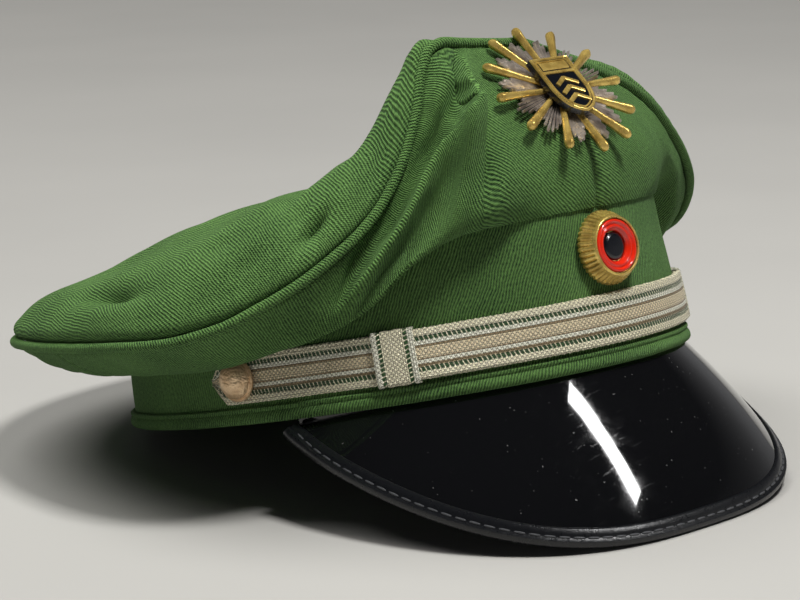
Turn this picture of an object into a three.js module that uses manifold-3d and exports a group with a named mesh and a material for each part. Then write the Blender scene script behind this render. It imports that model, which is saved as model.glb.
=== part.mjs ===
// A peaked uniform cap: a soft crown on a cloth band, a patent peak, a braid strap and badges.
// Millimetres, +Z up. In the cap's own frame the origin is in the middle of the band's lower edge,
// the front is towards -Y and the wearer's right towards -X. The whole cap is then pitched to the
// angle at which it rests, on the back of its lower welt and the front of its peak.
import * as THREE from 'three';
import { mergeVertices } from 'three/addons/utils/BufferGeometryUtils.js';
import Module from 'manifold-3d';

const wasm = await Module();
wasm.setup();

// General
const CLEARANCE = 0.3;
const DEGREE = Math.PI / 180;

// Head band
const BAND_LENGTH = 206;
const BAND_WIDTH = 165.6;
const BAND_HEIGHT = 48;
const BAND_WALL = 2;
const BAND_TAPER = 3.3 * DEGREE;
const BAND_EGG = 0.04;
const BAND_STEPS = 52;

// Lower welt
const WELT_HEIGHT = 5.2;
const WELT_PROUD = 1.7;
const WELT_UNDER = 1.6;
const WELT_PRESSED = 0.85;

// Crown
const CROWN_WIDTH = 236;
const CROWN_FRONT_REACH = 76.5;
const CROWN_REAR_REACH = 124;
const CROWN_SQUARENESS = 2.3;
const CROWN_HEIGHT = 104.5;
const CLOTH_WALL = 1.5;
const PIPING_DIAMETER = 2.6;
const PIPING_SIDES = 6;
const PIPING_SEAT = 0.45;
const SIDE_SEAM_ANGLE = 104 * DEGREE;
const SEAM_LIFT = 1.3;

// Peak
const PEAK_WIDTH = 164;
const PEAK_REACH = 87;
const PEAK_ROOT = 35.8;
const PEAK_DROP = 50;
const PEAK_ROUND_ACROSS = 0.725;
const PEAK_ROUND_ALONG = 0.917;
const PEAK_ROUND_DOWN = 0.756;
const PEAK_WALL = 1.8;
const PEAK_BULGE = 2.05;
const PEAK_END_ANGLE = 65.6 * DEGREE;
const PEAK_END_SINK = 1.5;
const BINDING_WIDTH = 6.2;
const BINDING_WALL = 0.9;
const BINDING_PRESSED = 0.35;
const PEAK_STEPS = 30;
const PEAK_ROWS = 5;

// Chin strap, sliders and buttons
const STRAP_WIDTH = 15;
const STRAP_WALL = 0.8;
const STRAP_END_ANGLE = 86.3 * DEGREE;
const STRAP_POINT = 5.5;
const STRAP_STEPS = 46;
const UPPER_STRAP_STEPS = 26;
const SLIDER_ANGLE = 42 * DEGREE;
const SLIDER_WIDTH = 12.7;
const SLIDER_WALL = 0.6;
const SLIDER_RIM = 0.8;
const BUTTON_ANGLE = 78.1 * DEGREE;
const BUTTON_DIAMETER = 13.6;
const BUTTON_HEIGHT = 5;
const BUTTON_STEPS = 20;

// Cockade
const COCKADE_DIAMETER = 22.8;
const COCKADE_HEIGHT = 6;
const COCKADE_DISC_DIAMETER = 16.2;
const COCKADE_CENTRE_DIAMETER = 8.6;
const COCKADE_LEVEL = 35;
const COCKADE_FLOOR = 2.6;
const COCKADE_FLUTES = 24;
const COCKADE_FLUTE_DEPTH = 0.22;
const COCKADE_RING_STEPS = 32;
const COCKADE_CENTRE_STEPS = 24;

// Star badge
const STAR_DIAMETER = 52;
const STAR_TOUCH = 0.6;
const STAR_ABOVE = 3.6;
const STAR_RAYS = 12;
const STAR_RAY_WIDTH = 3;
const STAR_PLATE_SHARE = 0.72;
const STAR_PLATE_THICKNESS = 1.6;
const SHIELD_WIDTH = 15;
const SHIELD_HEIGHT = 20.5;
const SHIELD_THICKNESS = 3;
const SHIELD_BORDER = 1.1;
const SHIELD_RELIEF = 0.6;

// The side panels' form at angles from the front, in degrees. edge: height of the crown's edge, as
// a share of CROWN_HEIGHT. rise: direction of the cloth as it leaves the band, 90 up and 0 outwards.
// swell: how far it keeps it, as a share of BAND_HEIGHT. lean: direction of the cloth as it arrives
// at the edge. tuck: how far before the edge it takes it, as a share of BAND_HEIGHT.
const RIGHT_SIDE = [
  { at: 0, edge: 0.972, rise: 66, swell: 0.46, lean: 127, tuck: 0.46 },
  { at: 8, edge: 0.98, rise: 66, swell: 0.46, lean: 126, tuck: 0.46 },
  { at: 15, edge: 0.991, rise: 47, swell: 0.45, lean: 122, tuck: 0.46 },
  { at: 20, edge: 1, rise: 16, swell: 0.45, lean: 116, tuck: 0.44 },
  { at: 23.5, edge: 0.985, rise: -2, swell: 0.46, lean: 112, tuck: 0.42 },
  { at: 26.5, edge: 0.92, rise: -10, swell: 0.48, lean: 110, tuck: 0.38 },
  { at: 29, edge: 0.82, rise: -21, swell: 0.51, lean: 108, tuck: 0.34 },
  { at: 32, edge: 0.73, rise: -31, swell: 0.54, lean: 105, tuck: 0.3 },
  { at: 35, edge: 0.655, rise: -39, swell: 0.58, lean: 100, tuck: 0.27 },
  { at: 40, edge: 0.56, rise: -56, swell: 0.68, lean: 90, tuck: 0.25 },
  { at: 44, edge: 0.505, rise: -67, swell: 0.77, lean: 76, tuck: 0.25 },
  { at: 48, edge: 0.46, rise: -74, swell: 0.84, lean: 64, tuck: 0.26 },
  { at: 55, edge: 0.392, rise: -79, swell: 0.88, lean: 48, tuck: 0.3 },
  { at: 61, edge: 0.347, rise: -79, swell: 0.89, lean: 35, tuck: 0.34 },
  { at: 68, edge: 0.305, rise: -79, swell: 0.9, lean: 25, tuck: 0.4 },
  { at: 76, edge: 0.288, rise: -80, swell: 0.91, lean: 18, tuck: 0.44 },
  { at: 86, edge: 0.298, rise: -80, swell: 0.92, lean: 15, tuck: 0.46 },
  { at: 106, edge: 0.32, rise: -79, swell: 0.9, lean: 14, tuck: 0.46 },
  { at: 121, edge: 0.336, rise: -78, swell: 0.88, lean: 14, tuck: 0.46 },
  { at: 150, edge: 0.35, rise: -74, swell: 0.84, lean: 16, tuck: 0.42 },
  { at: 180, edge: 0.36, rise: -72, swell: 0.8, lean: 18, tuck: 0.38 },
];
const LEFT_SIDE = [
  { at: 0, edge: 0.972, rise: 66, swell: 0.46, lean: 127, tuck: 0.46 },
  { at: 10, edge: 0.935, rise: 66, swell: 0.46, lean: 125, tuck: 0.45 },
  { at: 22, edge: 0.875, rise: 64, swell: 0.44, lean: 120, tuck: 0.42 },
  { at: 34, edge: 0.814, rise: 60, swell: 0.42, lean: 112, tuck: 0.38 },
  { at: 44, edge: 0.731, rise: 50, swell: 0.4, lean: 102, tuck: 0.34 },
  { at: 51, edge: 0.647, rise: 34, swell: 0.4, lean: 92, tuck: 0.32 },
  { at: 58, edge: 0.563, rise: 8, swell: 0.44, lean: 80, tuck: 0.3 },
  { at: 63, edge: 0.5, rise: -20, swell: 0.54, lean: 66, tuck: 0.3 },
  { at: 69, edge: 0.44, rise: -50, swell: 0.7, lean: 50, tuck: 0.34 },
  { at: 75, edge: 0.378, rise: -68, swell: 0.82, lean: 34, tuck: 0.38 },
  { at: 80, edge: 0.335, rise: -76, swell: 0.88, lean: 24, tuck: 0.42 },
  { at: 86, edge: 0.308, rise: -80, swell: 0.92, lean: 17, tuck: 0.46 },
  { at: 106, edge: 0.32, rise: -79, swell: 0.9, lean: 14, tuck: 0.46 },
  { at: 121, edge: 0.336, rise: -78, swell: 0.88, lean: 14, tuck: 0.46 },
  { at: 150, edge: 0.35, rise: -74, swell: 0.84, lean: 16, tuck: 0.42 },
  { at: 180, edge: 0.36, rise: -72, swell: 0.8, lean: 18, tuck: 0.38 },
];

// The top panel's line from front to rear. along: share of the way from the front edge to the rear
// one. height: share of CROWN_HEIGHT.
const TOP_LINE = [
  { along: 0, height: 0.972 },
  { along: 0.08, height: 0.852 },
  { along: 0.18, height: 0.743 },
  { along: 0.28, height: 0.671 },
  { along: 0.38, height: 0.637 },
  { along: 0.53, height: 0.612 },
  { along: 0.68, height: 0.599 },
  { along: 0.83, height: 0.56 },
  { along: 1, height: 0.5 },
];

// Where the top panel's rings lie, as shares of the way from its middle to the crown's edge.
const TOP_RINGS = [0, 0.25, 0.45, 0.62, 0.76, 0.86, 0.93, 0.975];
const TOP_ROLL = 3.6;
const SIDE_ROWS = 8;

// The crown's meridians on one side: the angle from the front, in degrees, that a run of them
// reaches, and its steps. They lie closest where the right front shoulder turns sharply.
const CROWN_RUNS = [
  { reach: 20, steps: 4 },
  { reach: 35, steps: 8 },
  { reach: 58, steps: 5 },
  { reach: SIDE_SEAM_ANGLE / DEGREE, steps: 6 },
  { reach: 180, steps: 8 },
];

// Folds of the side panels. at: angle from the front in degrees, minus on the left. level: share of
// the cloth's way from band to edge. depth and ridge: how far the cloth sinks in the fold and stands
// out above it, as shares of BAND_HEIGHT.
const SIDE_FOLD = [
  { at: 12, level: 0.95, depth: 0 },
  { at: 17, level: 0.9, depth: 0.05 },
  { at: 19, level: 0.79, depth: 0.09 },
  { at: 22, level: 0.71, depth: 0.12 },
  { at: 26, level: 0.64, depth: 0.13 },
  { at: 29, level: 0.68, depth: 0.13 },
  { at: 33, level: 0.81, depth: 0.13 },
  { at: 37, level: 0.87, depth: 0.12 },
  { at: 42, level: 0.87, depth: 0.1 },
  { at: 46, level: 0.8, depth: 0.07 },
  { at: 53, level: 0.6, depth: 0 },
];
const SIDE_FOLD_SPREAD = 0.11;
const SIDE_FOLD_RIDGE = 0.45;
const SIDE_FOLD_HOLD = 8;

// Dents and puffs of the top panel. at: angle from the front in degrees, minus on the left. from:
// share of the way from the middle to the edge. turn and spread: half width in degrees and in
// shares of that way. depth: share of BAND_HEIGHT, minus where the cloth puffs out.
const TOP_DENTS = [
  { at: 29, from: 0.867, turn: 8, spread: 0.17, depth: -0.154 },
  { at: 54, from: 0.57, turn: 10.7, spread: 0.25, depth: 0.165 },
  { at: 80, from: 0.66, turn: 10, spread: 0.3, depth: 0.06 },
  { at: 112, from: 0.76, turn: 24, spread: 0.16, depth: 0.12 },
  { at: 140, from: 0.7, turn: 14, spread: 0.2, depth: 0.08 },
];

const colours = {
  cloth: { color: 0x3c6b34, roughness: 0.9, metalness: 0 },
  piping: { color: 0x35602f, roughness: 0.9, metalness: 0 },
  patent: { color: 0x0a0b0d, roughness: 0.12, metalness: 0 },
  binding: { color: 0x101114, roughness: 0.4, metalness: 0 },
  braid: { color: 0xb9b7a4, roughness: 0.45, metalness: 0.6 },
  gold: { color: 0xb8923c, roughness: 0.35, metalness: 1 },
  red: { color: 0xe0321c, roughness: 0.3, metalness: 0 },
  black: { color: 0x14161a, roughness: 0.35, metalness: 0 },
};

// Value of a table's column at a place between its rows, along a smooth line without overshoot
// that is level at both ends of the table.
function columnAt(table, key, column, place) {
  const last = table.length - 1;
  if (place <= table[0][key]) return table[0][column];
  if (place >= table[last][key]) return table[last][column];
  let i = 0;
  while (table[i + 1][key] < place) i += 1;
  const slope = (k) => (table[k + 1][column] - table[k][column]) / (table[k + 1][key] - table[k][key]);
  const tangent = (k) => {
    if (k === 0 || k === last) return 0;
    const before = slope(k - 1);
    const after = slope(k);
    return before * after <= 0 ? 0 : (2 * before * after) / (before + after);
  };
  const span = table[i + 1][key] - table[i][key];
  const s = (place - table[i][key]) / span;
  const start = table[i][column];
  const end = table[i + 1][column];
  return (
    start * (1 + 2 * s) * (1 - s) ** 2 +
    end * s * s * (3 - 2 * s) +
    tangent(i) * span * s * (1 - s) ** 2 -
    tangent(i + 1) * span * s * s * (1 - s)
  );
}

// Direction in plan at an angle from the front, positive towards the wearer's right.
function planDirection(angle) {
  return new THREE.Vector3(-Math.sin(angle), -Math.cos(angle), 0);
}

// Outward normal of a plan curve, from two neighbouring points of it.
function planNormal(curve, angle) {
  const step = 0.001;
  const along = curve(angle + step).sub(curve(angle - step));
  return new THREE.Vector3(-along.y, along.x, 0).normalize();
}

// The band's outside in plan at a height: an egg-shaped ring, narrower in front and towards the top.
function bandRing(angle, height) {
  const inset = height * Math.tan(BAND_TAPER);
  const halfWidth = BAND_WIDTH / 2 - inset;
  const halfLength = BAND_LENGTH / 2 - inset;
  const turn = Math.atan2(Math.sin(angle) / halfWidth, Math.cos(angle) / halfLength);
  const egg = 1 - BAND_EGG * Math.cos(turn);
  return new THREE.Vector3(-halfWidth * Math.sin(turn) * egg, -halfLength * Math.cos(turn), height);
}

// A point at a height and a distance out from the band.
function offBand(angle, height, out) {
  const normal = planNormal((a) => bandRing(a, height), angle);
  return bandRing(angle, height).addScaledVector(normal, out);
}

// The crown's edge in plan: a squarish oval, short in front and long behind.
function crownPlan(angle) {
  const reach = Math.cos(angle) > 0 ? CROWN_FRONT_REACH : CROWN_REAR_REACH;
  const across = Math.abs(Math.sin(angle) / (CROWN_WIDTH / 2)) ** CROWN_SQUARENESS;
  const along = Math.abs(Math.cos(angle) / reach) ** CROWN_SQUARENESS;
  return planDirection(angle).multiplyScalar((across + along) ** (-1 / CROWN_SQUARENESS));
}

// The side table for an angle, and the angle in degrees that the table's rows go by.
function sideAt(angle, column) {
  const table = angle >= 0 ? RIGHT_SIDE : LEFT_SIDE;
  return columnAt(table, 'at', column, Math.abs(angle) / DEGREE);
}

function crownEdge(angle) {
  return crownPlan(angle).setZ(sideAt(angle, 'edge') * CROWN_HEIGHT);
}

// A direction made square to the crown's edge.
function squareToEdge(direction, angle) {
  const step = 0.01;
  const along = crownEdge(angle + step).sub(crownEdge(angle - step)).normalize();
  return direction.addScaledVector(along, -direction.dot(along)).normalize();
}

// Point of the side panels' middle layer, from the band's top edge (0) to the piping (1).
function sidePoint(angle, level) {
  const outBelow = planNormal((a) => bandRing(a, BAND_HEIGHT), angle);
  const outAbove = planNormal(crownPlan, angle);
  const rise = sideAt(angle, 'rise') * DEGREE;
  const lean = sideAt(angle, 'lean') * DEGREE;
  const up = new THREE.Vector3(0, 0, 1);
  const climb = Math.max(0, Math.sin(rise));
  const lift = CLEARANCE + (SEAM_LIFT - CLEARANCE) * (1 - climb);
  const start = bandRing(angle, BAND_HEIGHT);
  start.addScaledVector(outBelow, lift * Math.sqrt(1 - climb * climb));
  start.addScaledVector(up, lift * climb);
  const leaving = outBelow.clone().multiplyScalar(Math.cos(rise)).addScaledVector(up, Math.sin(rise));
  const arriving = outAbove.clone().multiplyScalar(Math.cos(lean)).addScaledVector(up, Math.sin(lean));
  squareToEdge(arriving, angle);
  const stop = crownEdge(angle).addScaledVector(arriving, -PIPING_DIAMETER / 2 - PIPING_SEAT);
  const first = start.clone().addScaledVector(leaving, sideAt(angle, 'swell') * BAND_HEIGHT);
  const second = stop.clone().addScaledVector(arriving, -sideAt(angle, 'tuck') * BAND_HEIGHT);
  const curve = new THREE.CubicBezierCurve3(start, first, second, stop);
  const point = curve.getPoint(level);
  return point.addScaledVector(sideFoldDirection(curve, level, outAbove), sideFold(angle, level));
}

function sideFoldDirection(curve, level, out) {
  const along = curve.getTangent(level);
  const across = new THREE.Vector3(-out.y, out.x, 0);
  return across.cross(along).normalize();
}

// How far a fold moves the side cloth: in at the fold, out just above it, and not at the piping.
function sideFold(angle, level) {
  const place = angle / DEGREE;
  const depth = columnAt(SIDE_FOLD, 'at', 'depth', place) * BAND_HEIGHT;
  const away = (level - columnAt(SIDE_FOLD, 'at', 'level', place)) / SIDE_FOLD_SPREAD;
  const crest = away - 2;
  const held = 1 - level ** SIDE_FOLD_HOLD;
  return depth * held * (Math.exp(-away * away) - SIDE_FOLD_RIDGE * Math.exp(-crest * crest));
}

// Height of the top panel's line over a place along the cap.
function topLine(y) {
  const along = (y + CROWN_FRONT_REACH) / (CROWN_FRONT_REACH + CROWN_REAR_REACH);
  return columnAt(TOP_LINE, 'along', 'height', along) * CROWN_HEIGHT;
}

// Point of the top panel's middle layer, from its middle (0) towards the crown's edge (1).
function topPoint(angle, share) {
  const edge = crownEdge(angle);
  const point = new THREE.Vector3(edge.x * share, edge.y * share, 0);
  const drop = 1 - Math.sqrt(1 - share ** TOP_ROLL);
  const line = topLine(point.y);
  return point.setZ(line + (edge.z - line) * drop - topDent(angle, share));
}

function topDent(angle, share) {
  const place = angle / DEGREE;
  let depth = 0;
  for (const dent of TOP_DENTS) {
    const turned = (place - dent.at) / dent.turn;
    const inward = (share - dent.from) / dent.spread;
    depth += dent.depth * BAND_HEIGHT * Math.exp(-turned * turned - inward * inward);
  }
  return depth;
}

// The top panel's rim, which stops just short of the piping.
function topRim(angle) {
  const edge = crownEdge(angle);
  const inner = topPoint(angle, TOP_RINGS[TOP_RINGS.length - 1]);
  const inwards = squareToEdge(inner.sub(edge), angle);
  return edge.addScaledVector(inwards, PIPING_DIAMETER / 2 + PIPING_SEAT);
}

// Closed body swept through sections with the same number of points. Each four-cornered face is
// split along its shorter diagonal. Point j of a section faces point n - 1 - j across the body,
// which closes the two ends of an open sweep.
function sweep(sections, closed) {
  const count = sections[0].length;
  const positions = [];
  for (const section of sections) {
    for (const point of section) positions.push(point.x, point.y, point.z);
  }
  const index = [];
  const spans = closed ? sections.length : sections.length - 1;
  for (let i = 0; i < spans; i += 1) {
    const here = i * count;
    const next = ((i + 1) % sections.length) * count;
    for (let j = 0; j < count; j += 1) {
      const k = (j + 1) % count;
      const [p, q, r, s] = [here + j, next + j, next + k, here + k];
      const corner = sections[i];
      const beyond = sections[(i + 1) % sections.length];
      if (corner[j].distanceTo(beyond[k]) <= beyond[j].distanceTo(corner[k])) {
        index.push(p, q, r, p, r, s);
      } else {
        index.push(p, q, s, q, r, s);
      }
    }
  }
  if (!closed) {
    const end = (sections.length - 1) * count;
    for (let j = 0; j < count / 2 - 1; j += 1) {
      const across = count - 1 - j;
      index.push(j, j + 1, across - 1, j, across - 1, across);
      index.push(end + j, end + across - 1, end + j + 1, end + j, end + across, end + across - 1);
    }
  }
  const geometry = new THREE.BufferGeometry();
  geometry.setAttribute('position', new THREE.Float32BufferAttribute(positions, 3));
  geometry.setIndex(index);
  return tidyGeometry(geometry);
}

// Merges equal corners, drops triangles without area and turns the faces outwards.
function tidyGeometry(source) {
  source.deleteAttribute('normal');
  source.deleteAttribute('uv');
  const merged = mergeVertices(source, 1e-5);
  const spot = merged.getAttribute('position');
  const index = merged.getIndex().array;
  const kept = [];
  let volume = 0;
  const [a, b, c] = [new THREE.Vector3(), new THREE.Vector3(), new THREE.Vector3()];
  for (let i = 0; i < index.length; i += 3) {
    const [p, q, r] = [index[i], index[i + 1], index[i + 2]];
    if (p === q || q === r || r === p) continue;
    kept.push(p, q, r);
    a.fromBufferAttribute(spot, p);
    b.fromBufferAttribute(spot, q);
    c.fromBufferAttribute(spot, r);
    volume += a.dot(b.cross(c));
  }
  if (volume < 0) kept.reverse();
  merged.setIndex(kept);
  return merged;
}

// Wall section from the points of its middle layer and their normals.
function wallSection(points, normals, wall) {
  const outer = points.map((point, i) => point.clone().addScaledVector(normals[i], wall / 2));
  const inner = points.map((point, i) => point.clone().addScaledVector(normals[i], -wall / 2));
  return [...outer, ...inner.reverse()];
}

// Closed wall round a grid of middle points, rows[i][j], with normals from neighbouring points.
function wallGrid(rows, wall, closed, outwards) {
  const last = rows.length - 1;
  const sections = rows.map((row, i) => {
    const before = rows[closed ? (i + last) % rows.length : Math.max(i - 1, 0)];
    const after = rows[closed ? (i + 1) % rows.length : Math.min(i + 1, last)];
    const normals = row.map((point, j) => {
      const along = after[j].clone().sub(before[j]);
      const across = row[Math.min(j + 1, row.length - 1)].clone().sub(row[Math.max(j - 1, 0)]);
      const normal = along.cross(across);
      if (normal.lengthSq() < 1e-9) return outwards.clone();
      return normal.normalize();
    });
    return wallSection(row, normals, wall);
  });
  return sweep(sections, closed);
}

// Angles from one to another, both included, in equal steps.
function spreadAngles(from, to, steps) {
  return Array.from({ length: steps + 1 }, (_, i) => from + ((to - from) * i) / steps);
}

function ringAngles(steps) {
  return Array.from({ length: steps }, (_, i) => -Math.PI + (2 * Math.PI * i) / steps);
}

function named(name, geometry, colour) {
  const mesh = new THREE.Mesh(geometry, new THREE.MeshStandardMaterial(colours[colour]));
  mesh.name = name;
  return mesh;
}

// Angles of the crown's meridians, from the front to the rear on one side.
function crownAngles() {
  const angles = [0];
  for (const { reach, steps } of CROWN_RUNS) {
    angles.push(...spreadAngles(angles[angles.length - 1], reach * DEGREE, steps).slice(1));
  }
  return angles;
}

function fullCrownAngles() {
  const half = crownAngles();
  const left = half.slice(1, -1).map((angle) => -angle);
  return [...half, ...left.reverse()];
}

function makeCrownTop() {
  const rows = fullCrownAngles().map((angle) => [
    topRim(angle),
    ...TOP_RINGS.slice().reverse().map((share) => topPoint(angle, share)),
  ]);
  return wallGrid(rows, CLOTH_WALL, true, new THREE.Vector3(0, 0, 1));
}

// Normal of the side cloth, towards the outside.
function sideNormal(angle, level) {
  const step = 0.01;
  const low = Math.max(level - step, 0);
  const high = Math.min(level + step, 1);
  const along = sidePoint(angle + step, level).sub(sidePoint(angle - step, level));
  const up = sidePoint(angle, high).sub(sidePoint(angle, low));
  return up.cross(along).normalize();
}

// One side panel between two seams. Its ends lie square to the seams, a clearance apart.
function makeSidePanel(from, to, side) {
  const inset = CLEARANCE / CROWN_FRONT_REACH;
  const angles = crownAngles().filter((angle) => angle >= from - 1e-6 && angle <= to + 1e-6);
  const last = angles.length - 1;
  const levels = Array.from({ length: SIDE_ROWS + 1 }, (_, j) => j / SIDE_ROWS);
  const sections = angles.map((angle, i) => {
    const atSeam = i === 0 || i === last;
    const place = side * (angle + (i === 0 ? inset : 0) - (i === last ? inset : 0));
    const seamward = planDirection(side * angle + Math.PI / 2);
    const points = levels.map((level) => sidePoint(place, level));
    const normals = levels.map((level) => {
      const normal = sideNormal(place, level);
      if (atSeam) normal.addScaledVector(seamward, -normal.dot(seamward)).normalize();
      return normal;
    });
    return wallSection(points, normals, CLOTH_WALL);
  });
  return sweep(sections, false);
}

function makePiping() {
  const angles = fullCrownAngles();
  const sections = angles.map((angle, i) => {
    const here = crownEdge(angle);
    const before = crownEdge(angles[(i + angles.length - 1) % angles.length]);
    const after = crownEdge(angles[(i + 1) % angles.length]);
    const along = after.sub(before).normalize();
    const out = planNormal(crownPlan, angle);
    out.addScaledVector(along, -out.dot(along)).normalize();
    const up = new THREE.Vector3().crossVectors(out, along);
    return Array.from({ length: PIPING_SIDES }, (_, j) => {
      const turn = ((j + 0.5) / PIPING_SIDES) * 2 * Math.PI;
      const point = here.clone().addScaledVector(out, (Math.cos(turn) * PIPING_DIAMETER) / 2);
      return point.addScaledVector(up, (Math.sin(turn) * PIPING_DIAMETER) / 2);
    });
  });
  return sweep(sections, true);
}

// Ring round the band from a profile of [out, height] points.
function bandBody(profile) {
  const sections = ringAngles(BAND_STEPS).map((angle) =>
    profile.map(([out, height]) => offBand(angle, height, out)),
  );
  return sweep(sections, true);
}

function makeBand() {
  const low = WELT_UNDER + CLEARANCE;
  return bandBody([
    [0, low],
    [0, BAND_HEIGHT],
    [-BAND_WALL, BAND_HEIGHT],
    [-BAND_WALL, low],
  ]);
}

function makeWelt() {
  const inner = CLEARANCE;
  const round = WELT_PROUD * 0.35;
  return bandBody([
    [inner, WELT_HEIGHT],
    [WELT_PROUD - round, WELT_HEIGHT],
    [WELT_PROUD, WELT_HEIGHT - round],
    [WELT_PROUD, round],
    [WELT_PROUD - round, 0],
    [-BAND_WALL, 0],
    [-BAND_WALL, WELT_UNDER],
    [inner, WELT_UNDER],
  ]);
}

// Level of the sheet's middle layer under the welt. It sinks at the peak's two ends, where the
// binding passes under the welt. turn runs from -90 to 90 degrees, wearer's left to right.
function peakLevel(turn) {
  return -CLEARANCE - PEAK_WALL / 2 - PEAK_END_SINK * Math.sin(turn) ** 30;
}

// Outer edge of the peak.
function peakEdge(turn) {
  const s = Math.sin(turn);
  const c = Math.abs(Math.cos(turn));
  return new THREE.Vector3(
    (-PEAK_WIDTH / 2) * Math.sign(s) * Math.abs(s) ** PEAK_ROUND_ACROSS,
    -PEAK_ROOT - PEAK_REACH * c ** PEAK_ROUND_ALONG,
    peakLevel(turn) - PEAK_DROP * c ** PEAK_ROUND_DOWN,
  );
}

// Inner edge of the peak, under the welt.
function peakRoot(turn) {
  const angle = (turn / (Math.PI / 2)) * PEAK_END_ANGLE;
  return offBand(angle, 0, -BAND_WALL / 2).setZ(peakLevel(turn));
}

// Point of the peak's middle layer from its root (0) to a share of the way to its edge.
function peakPoint(turn, share) {
  const root = peakRoot(turn);
  const edge = peakEdge(turn);
  const outward = planDirection(turn);
  const swell = PEAK_BULGE * Math.cos(turn) * 4 * share * (1 - share);
  return root.lerp(edge, share).addScaledVector(outward, swell);
}

function peakTurns() {
  return spreadAngles(-Math.PI / 2, Math.PI / 2, PEAK_STEPS);
}

// Normal of the peak's sheet, towards its outer face.
function peakNormal(turn, share) {
  const step = 0.01;
  const limit = Math.PI / 2;
  const along = peakPoint(Math.min(turn + step, limit), share);
  along.sub(peakPoint(Math.max(turn - step, -limit), share));
  const out = peakPoint(turn, share + step).sub(peakPoint(turn, share - step));
  return along.cross(out).normalize();
}

// Share of the way from root to edge that lies a distance before the edge, measured square to it.
function peakShareBefore(turn, distance) {
  const step = 0.01;
  const limit = Math.PI / 2;
  const along = peakEdge(Math.min(turn + step, limit));
  along.sub(peakEdge(Math.max(turn - step, -limit))).normalize();
  const row = peakEdge(turn).sub(peakRoot(turn));
  const square = row.clone().addScaledVector(along, -row.dot(along)).length();
  return 1 - distance / square;
}

function makePeak() {
  const sections = peakTurns().map((turn) => {
    const bound = peakShareBefore(turn, BINDING_WIDTH);
    const shares = Array.from({ length: PEAK_ROWS }, (_, j) => (bound * j) / (PEAK_ROWS - 1));
    shares.push(peakShareBefore(turn, BINDING_WALL + CLEARANCE));
    const points = shares.map((share) => peakPoint(turn, share));
    const normals = shares.map((share) => peakNormal(turn, share));
    return wallSection(points, normals, PEAK_WALL);
  });
  return sweep(sections, false);
}

// The binding: a U round the sheet's edge, given by how far before the edge and off the sheet.
function makeBinding() {
  const inside = PEAK_WALL / 2 + CLEARANCE;
  const outside = inside + BINDING_WALL;
  const round = outside * 0.6;
  const sections = peakTurns().map((turn) => {
    const spot = (before, off) => {
      const share = peakShareBefore(turn, before);
      return peakPoint(turn, share).addScaledVector(peakNormal(turn, share), off);
    };
    return [
      spot(BINDING_WIDTH, outside),
      spot(round, outside),
      spot(0, outside * 0.45),
      spot(0, -outside * 0.45),
      spot(round, -outside),
      spot(BINDING_WIDTH, -outside),
      spot(BINDING_WIDTH, -inside),
      spot(BINDING_WALL, -inside),
      spot(BINDING_WALL, -inside * 0.5),
      spot(BINDING_WALL, inside * 0.5),
      spot(BINDING_WALL, inside),
      spot(BINDING_WIDTH, inside),
    ];
  });
  return sweep(sections, false);
}

// The strap lies above the welt, with room for the sliders' lower rims.
const STRAP_LOW_EDGE = WELT_HEIGHT + SLIDER_RIM + 2 * CLEARANCE;
const STRAP_MIDDLE = STRAP_LOW_EDGE + STRAP_WIDTH / 2;

// How far the lower strap stands off the band: it rises to pass through the sliders.
function strapLift(angle) {
  const half = SLIDER_WIDTH / BAND_WIDTH;
  const away = Math.max(0, Math.abs(Math.abs(angle) - SLIDER_ANGLE) - half) / (2 * half);
  const rise = away < 1 ? (1 - away * away) ** 2 : 0;
  return CLEARANCE + (SLIDER_WALL + CLEARANCE) * rise;
}

function strapSection(angle, low, high, off) {
  return [
    offBand(angle, low, off),
    offBand(angle, low, off + STRAP_WALL),
    offBand(angle, high, off + STRAP_WALL),
    offBand(angle, high, off),
  ];
}

function makeStrap() {
  const sections = [];
  const reach = STRAP_POINT / (BAND_WIDTH / 2);
  const tip = STRAP_WIDTH * 0.06;
  for (const side of [-1, 1]) {
    const end = side * STRAP_END_ANGLE;
    sections.push(strapSection(end, STRAP_MIDDLE - tip, STRAP_MIDDLE + tip, strapLift(end)));
  }
  const inner = STRAP_END_ANGLE - reach;
  const whole = spreadAngles(-inner, inner, STRAP_STEPS).map((angle) =>
    strapSection(angle, STRAP_LOW_EDGE, STRAP_LOW_EDGE + STRAP_WIDTH, strapLift(angle)),
  );
  return sweep([sections[0], ...whole, sections[1]], false);
}

function makeUpperStrap() {
  const end = SLIDER_ANGLE + SLIDER_WIDTH / BAND_LENGTH;
  const sections = spreadAngles(-end, end, UPPER_STRAP_STEPS).map((angle) =>
    strapSection(
      angle,
      STRAP_LOW_EDGE,
      STRAP_LOW_EDGE + STRAP_WIDTH,
      strapLift(angle) + STRAP_WALL + CLEARANCE,
    ),
  );
  return sweep(sections, false);
}

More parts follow.
